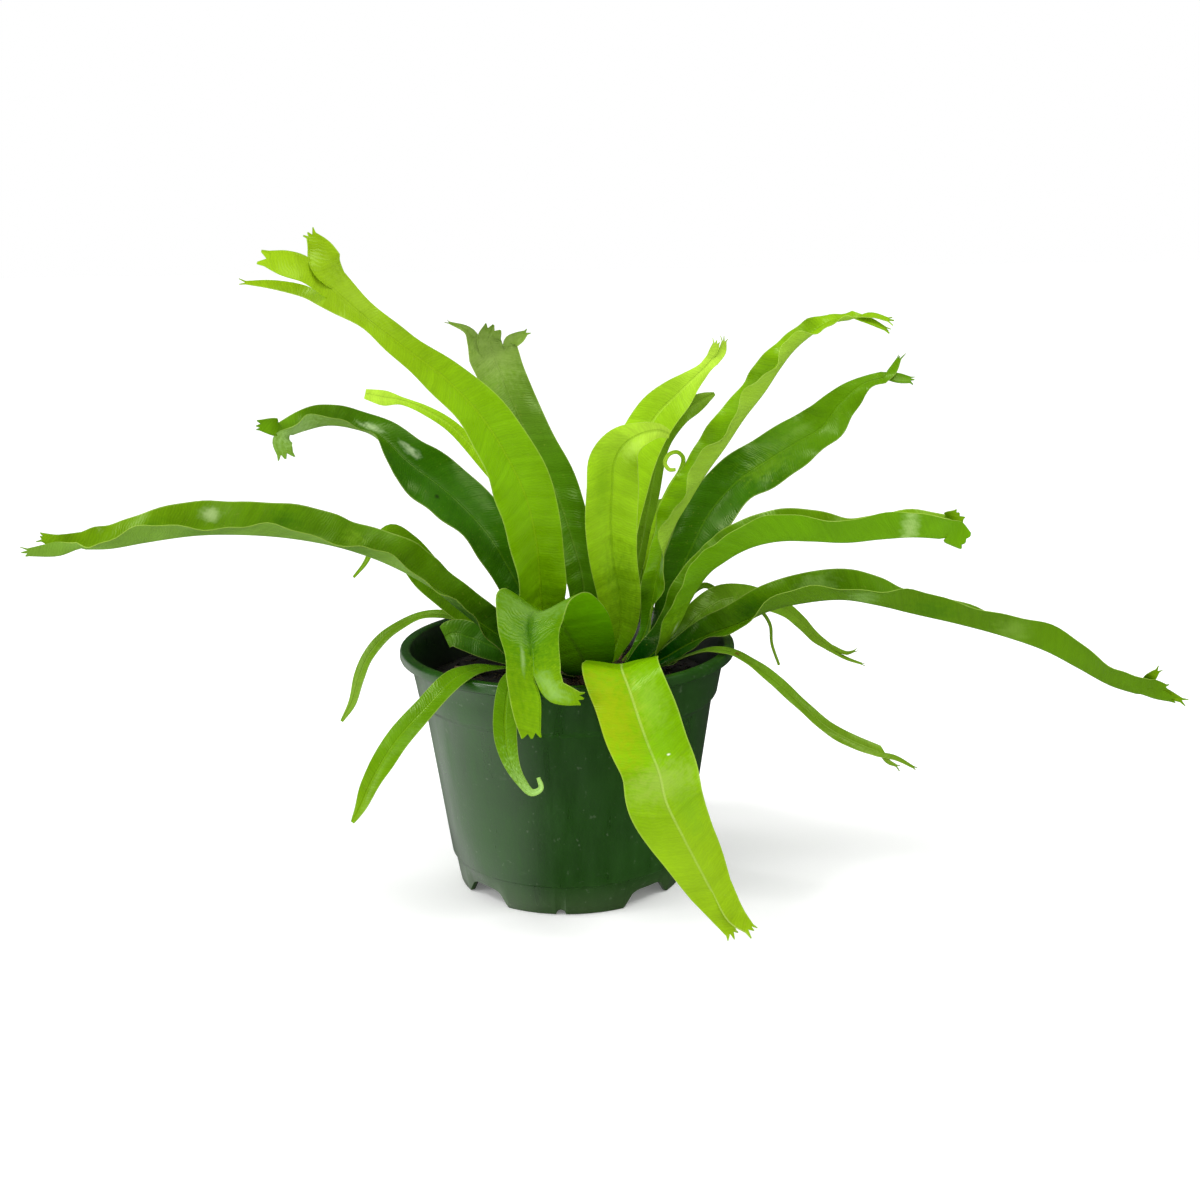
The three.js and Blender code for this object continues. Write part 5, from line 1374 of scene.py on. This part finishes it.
def pot_mesh():
    """The pot's points and faces, turned round its axis, with its arches, notches and slots."""
    profile, lifted = pot_profile()
    turns = angles_round()
    points = []
    for turn in turns:
        lift = foot_lift(turn)
        direction = (math.cos(math.radians(turn)), math.sin(math.radians(turn)))
        for i, (radius, height) in enumerate(profile):
            if i in lifted:
                height = lift + height * (BAND_TOP - lift) / BAND_TOP
            points.append((radius * direction[0], radius * direction[1], height))
    size = len(profile)
    ceiling = [i for i, (r, z) in enumerate(profile) if z == CHANNEL_HEIGHT and r in SLOT_RADII]
    floor = [i for i, (r, z) in enumerate(profile) if z == CHANNEL_HEIGHT + FLOOR and r in SLOT_RADII]
    faces = []
    for column, turn in enumerate(turns):
        after = (column + 1) % len(turns)
        following = turns[after] + (360 if after == 0 else 0)
        in_slot = away_from((turn + following) / 2, ARCH_TURN) < SLOT_HALF_TURN
        near, far = column * size, after * size
        for i in range(size - 1):
            if in_slot and (i == ceiling[0] or i == floor[0]):
                continue
            faces.append((near + i, far + i, far + i + 1, near + i + 1))
        if in_slot:
            faces.append((near + ceiling[0], near + floor[1], far + floor[1], far + ceiling[0]))
            faces.append((near + ceiling[1], far + ceiling[1], far + floor[0], near + floor[0]))
        before = turns[column - 1] - (360 if column == 0 else 0)
        was_in_slot = away_from((turn + before) / 2, ARCH_TURN) < SLOT_HALF_TURN
        if in_slot != was_in_slot:
            side = (near + ceiling[0], near + ceiling[1], near + floor[0], near + floor[1])
            faces.append(side if in_slot else side[::-1])
    faces.append(tuple(range(0, len(turns) * size, size))[::-1])
    faces.append(tuple(range(size - 1, len(turns) * size, size)))
    return points, faces


def rough_point(x, y, z, scale, amount):
    """A point moved up and down by noise, for natural ground."""
    lump = noise.fractal(Vector((x * scale, y * scale, MIX_NOISE_SEED)), 0.8, 2.2, 4)
    return (x, y, z + amount * lump)


def ring(radius, sides, middle=(0, 0)):
    """The (x, y) places of a ring's points."""
    turns = [math.tau * k / sides for k in range(sides)]
    return [(middle[0] + radius * math.cos(turn), middle[1] + radius * math.sin(turn)) for turn in turns]


def ring_faces(rings, sides, first=0, sinking=False):
    """The faces between rings of points, numbered one after another, that rise or else sink."""
    faces = []
    for start in range(first, first + (rings - 1) * sides, sides):
        for k in range(sides):
            a, b = start + k, start + (k + 1) % sides
            others = (b, b + sides, a + sides)
            faces.append((a, *reversed(others)) if sinking else (a, *others))
    return faces


def mix_height(radius):
    """The height of the potting mix's even surface at a radius from the pot's axis."""
    edge = COLLAR_RADIUS - WALL - 0.6
    at = [0, edge * 0.4, edge * 0.8, edge]
    heights = [MIX_HEIGHT, MIX_HEIGHT, MIX_HEIGHT - 0.6, MIX_HEIGHT - MIX_SINK]
    return float(np.interp(radius, at, heights))


def mix_points():
    """The potting mix: a lumpy top, a side that follows the pot's wall, and a flat underside."""
    points = [rough_point(0, 0, MIX_HEIGHT - 0.4, 0.12, 1)]
    for i in range(1, MIX_RINGS + 1):
        radius = MIX_RADIUS * (i / MIX_RINGS) ** 0.8
        lump = MIX_LUMP * min(1, (MIX_RADIUS + 2 - radius) / 6)
        height = mix_height(radius) - 0.5
        points += [rough_point(x, y, height, 0.16, lump) for x, y in ring(radius, MIX_SIDES)]
    for radius, height in MIX_WALL:
        points += [(x, y, height) for x, y in ring(radius, MIX_SIDES)]
    rings = MIX_RINGS + len(MIX_WALL)
    faces = [(0, 1 + k, 1 + (k + 1) % MIX_SIDES) for k in range(MIX_SIDES)]
    faces += ring_faces(rings, MIX_SIDES, first=1, sinking=True)
    faces.append(tuple(range(len(points) - MIX_SIDES, len(points)))[::-1])
    return points, faces


def chip(middle, size, chance):
    """A small broken chip: a flattened, jittered block."""
    points = []
    axes = [chance.uniform(*reach) * size for reach in CHIP_FORM]
    turn = Matrix.Rotation(chance.uniform(0, math.tau), 3, "Z")
    turn @= Matrix.Rotation(chance.uniform(-0.5, 0.5), 3, "X")
    for x in (-1, 1):
        for y in (-1, 1):
            for z in (-1, 1):
                corner = Vector((x * axes[0], y * axes[1], z * axes[2])) * chance.uniform(0.6, 1)
                points.append(tuple(turn @ corner + Vector(middle)))
    faces = [(0, 1, 3, 2), (4, 6, 7, 5), (0, 4, 5, 1), (2, 3, 7, 6), (0, 2, 6, 4), (1, 5, 7, 3)]
    return points, faces


def joined(parts):
    """Several lists of points and faces as one."""
    points, faces = [], []
    for more_points, more_faces in parts:
        first = len(points)
        points.extend(more_points)
        faces.extend(tuple(i + first for i in face) for face in more_faces)
    return points, faces


def tube(path, radii, sides):
    """A closed tube along a path, with a radius for each point of each ring."""
    path = np.array(path, dtype=float)
    along = unit(np.gradient(path, axis=0))
    side = unit(np.cross(along, (0.13, 0.21, 1)))
    up = np.cross(side, along)
    points = []
    for i, middle in enumerate(path):
        for k in range(sides):
            turn = math.tau * k / sides
            out = math.cos(turn) * side[i] + math.sin(turn) * up[i]
            points.append(tuple(middle + radii[i][k] * out))
    faces = ring_faces(len(path), sides)
    faces.append(tuple(range(sides))[::-1])
    faces.append(tuple(range(len(points) - sides, len(points))))
    return points, faces


def on_mix(chance, low, high):
    """A random place on the mix between two radii from the pot's axis, clear of the crown."""
    while True:
        radius, turn = chance.uniform(low, high), chance.uniform(0, math.tau)
        x, y = radius * math.cos(turn), radius * math.sin(turn)
        if math.hypot(x - CROWN_MIDDLE[0], y - CROWN_MIDDLE[1]) > CROWN_RADIUS - 2:
            return x, y, mix_height(radius)


def mix_litter(chance):
    """Bark chips and short fibres that lie on the potting mix."""
    parts = []
    for _ in range(CHIPS):
        x, y, z = on_mix(chance, 0, LITTER_REACH)
        parts.append(chip((x, y, z + 0.2), chance.uniform(*CHIP_SIZES), chance))
    return joined(parts)


def mix_fibres(chance):
    """Fine root fibres that lie on the potting mix."""
    parts = []
    radii = [[FIBRE_RADIUS] * FIBRE_SIDES] * (FIBRE_STEPS + 1)
    for _ in range(FIBRES):
        x, y, z = on_mix(chance, *FIBRE_PLACES)
        turn, bend = chance.uniform(0, math.tau), chance.uniform(-1.5, 1.5)
        length = chance.uniform(*FIBRE_LENGTHS)
        path = []
        for step in range(FIBRE_STEPS + 1):
            share = step / FIBRE_STEPS
            angle = turn + bend * share
            path.append((x + length * share * math.cos(angle), y + length * share * math.sin(angle),
                         z + 0.5 + 0.8 * math.sin(math.pi * share)))
        if all(math.hypot(px, py) < LITTER_REACH for px, py, _ in path):
            parts.append(tube(path, radii, FIBRE_SIDES))
    return joined(parts)


def crown_points():
    """The crown's knobbly dome, down to its narrow rootstock."""
    dome = [(part * CROWN_RADIUS, CROWN_TOP - CROWN_RISE * part * part) for part in CROWN_DOME]
    points = []
    for radius, height in CROWN_STEM + dome:
        for x, y in ring(1, CROWN_SIDES):
            lump = noise.noise(Vector((x * 2.4, y * 2.4, height * 0.16)))
            reach = radius * (1 + 0.05 * lump) - 0.6
            points.append((
                CROWN_MIDDLE[0] + reach * x, CROWN_MIDDLE[1] + reach * y, height + lump * 0.8 - 0.4
            ))
    faces = ring_faces(len(CROWN_STEM + dome), CROWN_SIDES)
    faces.append(tuple(range(CROWN_SIDES))[::-1])
    faces.append(tuple(range(len(points) - CROWN_SIDES, len(points))))
    return points, faces


def crown_scales(chance):
    """The papery brown scales that cover the crown, pointing up and out."""
    parts = []
    for _ in range(SCALES):
        turn, part = chance.uniform(0, math.tau), math.sqrt(chance.uniform(0.02, 1))
        out = Vector((math.cos(turn), math.sin(turn), 0))
        foot = Vector((*CROWN_MIDDLE, CROWN_TOP - CROWN_RISE * part * part - 0.8))
        foot += out * (part * CROWN_RADIUS)
        side = Vector((-out.y, out.x, 0)) * chance.uniform(0.5, 1)
        length = chance.uniform(*SCALE_LENGTHS)
        rise = Vector((0, 0, 1)) * length * 0.8 + out * length * (0.3 + 0.5 * part)
        back = out * 0.22
        tip = foot + rise + side * chance.uniform(-0.6, 0.6)
        middle = foot + rise * 0.5 + out * 0.5
        front = [foot - side, foot + side, middle + side * 0.7, middle - side * 0.7, tip]
        points = [tuple(p) for p in front] + [tuple(p - back) for p in front]
        parts.append((points, SCALE_FACES))
    return joined(parts)


def dead_stalk_mesh(points, radius, chance):
    """A dry stalk: a bent, wrinkled tube that thins to a torn end."""
    radii = []
    for i in range(STALK_STEPS + 1):
        thinned = radius * (1.05 - 0.35 * i / STALK_STEPS)
        wrinkles = [chance.uniform(-STALK_WRINKLE, STALK_WRINKLE) for _ in range(STALK_SIDES)]
        radii.append([thinned * (1 + wrinkle) for wrinkle in wrinkles])
    return tube(curve_points(points, STALK_STEPS), radii, STALK_SIDES)


class PotSettings(bpy.types.PropertyGroup):
    """The pot's finish."""

    colour: FloatVectorProperty(
        name="Plastic", description="Colour of the moulded plastic", subtype="COLOR", size=4,
        min=0, max=1, default=srgb(24, 66, 2),
    )
    roughness: FloatProperty(
        name="Roughness", description="How dull the plastic is", default=0.32, min=0.1, max=0.9,
        subtype="FACTOR",
    )


class LeafSettings(bpy.types.PropertyGroup):
    """The fronds' finish."""

    vein_spacing: FloatProperty(
        name="Vein Spacing", description="Distance between two side veins in millimetres",
        default=1.35, min=0.5, max=4,
    )
    leaf_roughness: FloatProperty(
        name="Leaf Roughness", description="How dull the upper sides are", default=0.28, min=0.1,
        max=0.9, subtype="FACTOR",
    )


class GroundSettings(bpy.types.PropertyGroup):
    """The potting mix and the crown."""

    dark: FloatVectorProperty(
        name="Moist Mix", description="Darkest colour of the potting mix", subtype="COLOR", size=4,
        min=0, max=1, default=srgb(9, 8, 5),
    )
    seed: IntProperty(name="Seed", description="Seed of the chips, fibres and scales", default=7)


class StageSettings(bpy.types.PropertyGroup):
    """The floor, the lights and the world."""

    floor: FloatVectorProperty(
        name="Floor", description="Colour of the plain floor", subtype="COLOR", size=4, min=0, max=1,
        default=(0.95, 0.95, 0.95, 1),
    )
    floor_glow: FloatProperty(
        name="Floor Glow", description="Light that the floor itself gives off, as a lit table does",
        default=0.12,
    )
    key_strength: FloatProperty(
        name="Key Light", description="Strength of the wide soft key light from the left", default=1.15
    )
    side_power: FloatProperty(
        name="Side Light", description="Power of the left softbox in watts", default=6
    )
    top_power: FloatProperty(
        name="Top Light", description="Power of the top softbox in watts", default=5
    )
    room: FloatProperty(
        name="Room Light", description="Light that comes from the pale room all round", default=0.84
    )
    mirrored_room: FloatProperty(
        name="Mirrored Room", description="How bright the room is where a glossy face mirrors it",
        default=0.06,
    )
    mirrored_table: FloatProperty(
        name="Mirrored Table", description="How bright the pale table on the left looks in a glossy face",
        default=1.2,
    )


class FERN_OT_pot(bpy.types.Operator):
    """Builds the nursery pot."""

    bl_idname = "fern.pot"
    bl_label = "Nursery Pot"

    def execute(self, context):
        points, faces = pot_mesh()
        piece = plain_mesh(
            "nursery_pot", points, faces, pot_plastic(context.scene.fern_pot), POT_SHARP_EDGE
        )
        place_piece(piece, "pot", "pot")
        return {"FINISHED"}


class FERN_OT_ground(bpy.types.Operator):
    """Builds the potting mix and what lies on it."""

    bl_idname = "fern.ground"
    bl_label = "Potting Mix"

    def execute(self, context):
        ground = context.scene.fern_ground
        chance = random.Random(ground.seed)
        moist = earth("moist_mix", tuple(ground.dark), MOIST_LIGHT, MOIST_SCALE, EARTH_ROUGHNESS)
        bark = earth("bark_chips", *EARTHS["bark_chips"])
        fibre = earth("root_fibre", *EARTHS["root_fibre"])
        place_piece(plain_mesh("moist_mix", *mix_points(), moist), "potting_mix", "potting_mix")
        place_piece(plain_mesh("bark_chips", *mix_litter(chance), bark, CHIP_SHARP_EDGE), "potting_mix")
        place_piece(plain_mesh("root_fibres", *mix_fibres(chance), fibre), "potting_mix")
        return {"FINISHED"}


class FERN_OT_crown(bpy.types.Operator):
    """Builds the crown and its scales."""

    bl_idname = "fern.crown"
    bl_label = "Crown"

    def execute(self, context):
        chance = random.Random(context.scene.fern_ground.seed + 1)
        rootstock = earth("rootstock", *EARTHS["rootstock"])
        scales = earth("crown_scales", *EARTHS["crown_scales"])
        place_piece(plain_mesh("knobbly_crown", *crown_points(), rootstock), "crown", "crown")
        place_piece(plain_mesh("crown_scales", *crown_scales(chance), scales, SCALE_SHARP_EDGE), "crown")
        return {"FINISHED"}


class FERN_OT_dead_stalks(bpy.types.Operator):
    """Builds the dead stalks that lie on the mix."""

    bl_idname = "fern.dead_stalks"
    bl_label = "Dead Stalks"

    def execute(self, context):
        chance = random.Random(context.scene.fern_ground.seed + 2)
        dry = earth("dry_stalk", *EARTHS["dry_stalk"])
        for name, (points, radius) in DEAD_STALKS.items():
            piece = plain_mesh("dry_" + name, *dead_stalk_mesh(points, radius, chance), dry)
            place_piece(piece, "dead_stalk", name)
        return {"FINISHED"}


class FERN_OT_fronds(bpy.types.Operator):
    """Builds every frond over its CAD node."""

    bl_idname = "fern.fronds"
    bl_label = "Fronds"

    def execute(self, context):
        looks = context.scene.fern_leaf
        for name, frond in FRONDS.items():
            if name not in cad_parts:
                raise RuntimeError("the frame has no node " + name)
            materials = (leaf_top(name, frond, looks), leaf_under(name, frond, looks))
            piece = thick_mesh(name.replace("frond_", "leaf_"), frond_sheet(name, frond), materials)
            place_piece(piece, frond["slot"], name)
        return {"FINISHED"}


def area_light(name, placing, power):
    """A soft square light that looks at a target."""
    place, target, size = placing
    light = bpy.data.lights.new(name, "AREA")
    light.shape = "SQUARE"
    light.size = size
    light.energy = power
    lamp = bpy.data.objects.new(name, light)
    lamp.location = place
    lamp.rotation_euler = (Vector(target) - Vector(place)).to_track_quat("-Z", "Y").to_euler()
    bpy.context.scene.collection.objects.link(lamp)


def key_light(strength):
    """A wide soft light that shines evenly in one direction."""
    light = bpy.data.lights.new("key_light", "SUN")
    light.angle = math.radians(KEY_SPREAD)
    light.energy = strength
    lamp = bpy.data.objects.new("key_light", light)
    lamp.rotation_euler = Vector(KEY_DIRECTION).to_track_quat("-Z", "Y").to_euler()
    bpy.context.scene.collection.objects.link(lamp)


def photo_camera():
    """The camera where the photograph was taken from."""
    cos, sin = math.cos, math.sin
    ahead = Vector((
        sin(CAMERA_YAW) * cos(CAMERA_PITCH), cos(CAMERA_YAW) * cos(CAMERA_PITCH), -sin(CAMERA_PITCH)
    ))
    right = Vector((cos(CAMERA_YAW), -sin(CAMERA_YAW), 0))
    up = right.cross(ahead)
    turned_right = cos(CAMERA_ROLL) * right + sin(CAMERA_ROLL) * up
    turned_up = cos(CAMERA_ROLL) * up - sin(CAMERA_ROLL) * right
    data = bpy.data.cameras.new("photo_camera")
    data.sensor_fit = "HORIZONTAL"
    data.sensor_width = SENSOR
    data.lens = SENSOR * FOCAL_PIXELS / PHOTO_WIDTH
    data.clip_start = 0.01
    camera = bpy.data.objects.new("photo_camera", data)
    turn = Matrix((turned_right, turned_up, -ahead)).transposed()
    camera.matrix_world = Matrix.Translation(CAMERA_PLACE) @ turn.to_4x4()
    bpy.context.scene.collection.objects.link(camera)
    bpy.context.scene.camera = camera


def studio_world(room, gloss, table):
    """A pale room: white behind the object, and dim where it mirrors but for the table on the left."""
    world = bpy.data.worlds.new("pale_room")
    bpy.context.scene.world = world
    world.use_nodes = True
    nodes = Nodes(world.node_tree)
    world.node_tree.nodes.clear()
    seen = nodes.add("ShaderNodeBackground", {"Color": WHITE, "Strength": 1.0}).outputs[0]
    lit = nodes.add("ShaderNodeBackground", {"Color": WHITE, "Strength": room}).outputs[0]
    way = nodes.split(nodes.add("ShaderNodeTexCoord").outputs["Generated"])
    left = nodes.eased(way[0], -0.2, -0.7)
    low = nodes.eased(way[2], 0.2, -0.1)
    strength = nodes.math("MULTIPLY_ADD", nodes.math("MULTIPLY", left, low), table, gloss)
    mirrored = nodes.add("ShaderNodeBackground", {"Color": WHITE, "Strength": strength}).outputs[0]
    ray = nodes.add("ShaderNodeLightPath").outputs
    dimmed = nodes.add("ShaderNodeMixShader", {0: ray["Is Glossy Ray"], 1: lit, 2: mirrored}).outputs[0]
    mixed = nodes.add("ShaderNodeMixShader", {0: ray["Is Camera Ray"], 1: dimmed, 2: seen}).outputs[0]
    nodes.add("ShaderNodeOutputWorld", {"Surface": mixed})


def pale_floor(colour, glow):
    """A plain wide table top, which gives a little light and isn't mirrored in what stands on it."""
    material, nodes, shader = new_material("pale_floor")
    grain = nodes.grey(nodes.spread(nodes.noise(nodes.object_place(), 300, 2), 0, 1, 0.99, 1))
    nodes.put(shader.inputs["Base Color"], nodes.toned(tuple(colour), grain))
    shader.inputs["Roughness"].default_value = 0.9
    shader.inputs["Specular IOR Level"].default_value = 0.1
    shader.inputs["Emission Color"].default_value = WHITE
    shader.inputs["Emission Strength"].default_value = glow
    corners = [(x * FLOOR_REACH, y * FLOOR_REACH, 0) for x, y in ((-1, -1), (1, -1), (1, 1), (-1, 1))]
    mesh = bpy.data.meshes.new("pale_floor")
    mesh.from_pydata(corners, [], [(0, 1, 2, 3)])
    mesh.materials.append(material)
    floor = bpy.data.objects.new("pale_floor", mesh)
    floor.location.z = -FLOOR_SINK
    floor.visible_glossy = False
    bpy.context.scene.collection.objects.link(floor)


class FERN_OT_stage(bpy.types.Operator):
    """Builds the camera, the floor, the lights and the room."""

    bl_idname = "fern.stage"
    bl_label = "Stage"

    def execute(self, context):
        stage = context.scene.fern_stage
        pale_floor(stage.floor, stage.floor_glow)
        key_light(stage.key_strength)
        area_light("side_light", SIDE_LIGHT, stage.side_power)
        area_light("top_light", TOP_LIGHT, stage.top_power)
        studio_world(stage.room, stage.mirrored_room, stage.mirrored_table)
        photo_camera()
        context.scene.view_settings.view_transform = "Standard"
        return {"FINISHED"}


class FERN_PT_panel(bpy.types.Panel):
    """Lists the fern's builders and their settings."""

    bl_idname = "FERN_PT_panel"
    bl_label = "Crested Fern"
    bl_space_type = "VIEW_3D"
    bl_region_type = "UI"
    bl_category = "Fern"

    def draw(self, context):
        scene = context.scene
        for operator in OPERATORS:
            self.layout.operator(operator.bl_idname)
        for settings in (scene.fern_pot, scene.fern_leaf, scene.fern_ground, scene.fern_stage):
            box = self.layout.box()
            for key in settings.__annotations__:
                box.prop(settings, key)


SETTINGS = {
    "fern_pot": PotSettings,
    "fern_leaf": LeafSettings,
    "fern_ground": GroundSettings,
    "fern_stage": StageSettings,
}
OPERATORS = (
    FERN_OT_stage, FERN_OT_pot, FERN_OT_ground, FERN_OT_crown, FERN_OT_dead_stalks, FERN_OT_fronds,
)
GROUPS = {}


def register():
    """Adds the settings, the operators and the panel to Blender."""
    for item in (*SETTINGS.values(), *OPERATORS, FERN_PT_panel):
        bpy.utils.register_class(item)
    for name, settings in SETTINGS.items():
        setattr(bpy.types.Scene, name, PointerProperty(type=settings))


def unregister():
    """Takes them out again."""
    for name in SETTINGS:
        delattr(bpy.types.Scene, name)
    for item in reversed((*SETTINGS.values(), *OPERATORS, FERN_PT_panel)):
        bpy.utils.unregister_class(item)


def main():
    """Builds the whole scene."""
    register()
    GROUPS.update(veins=vein_group(), patch=patch_group(), mottle=mottle_group())
    bpy.ops.fern.stage()
    bpy.ops.fern.pot()
    bpy.ops.fern.ground()
    bpy.ops.fern.crown()
    bpy.ops.fern.dead_stalks()
    bpy.ops.fern.fronds()


if __name__ == "__main__":
    main()
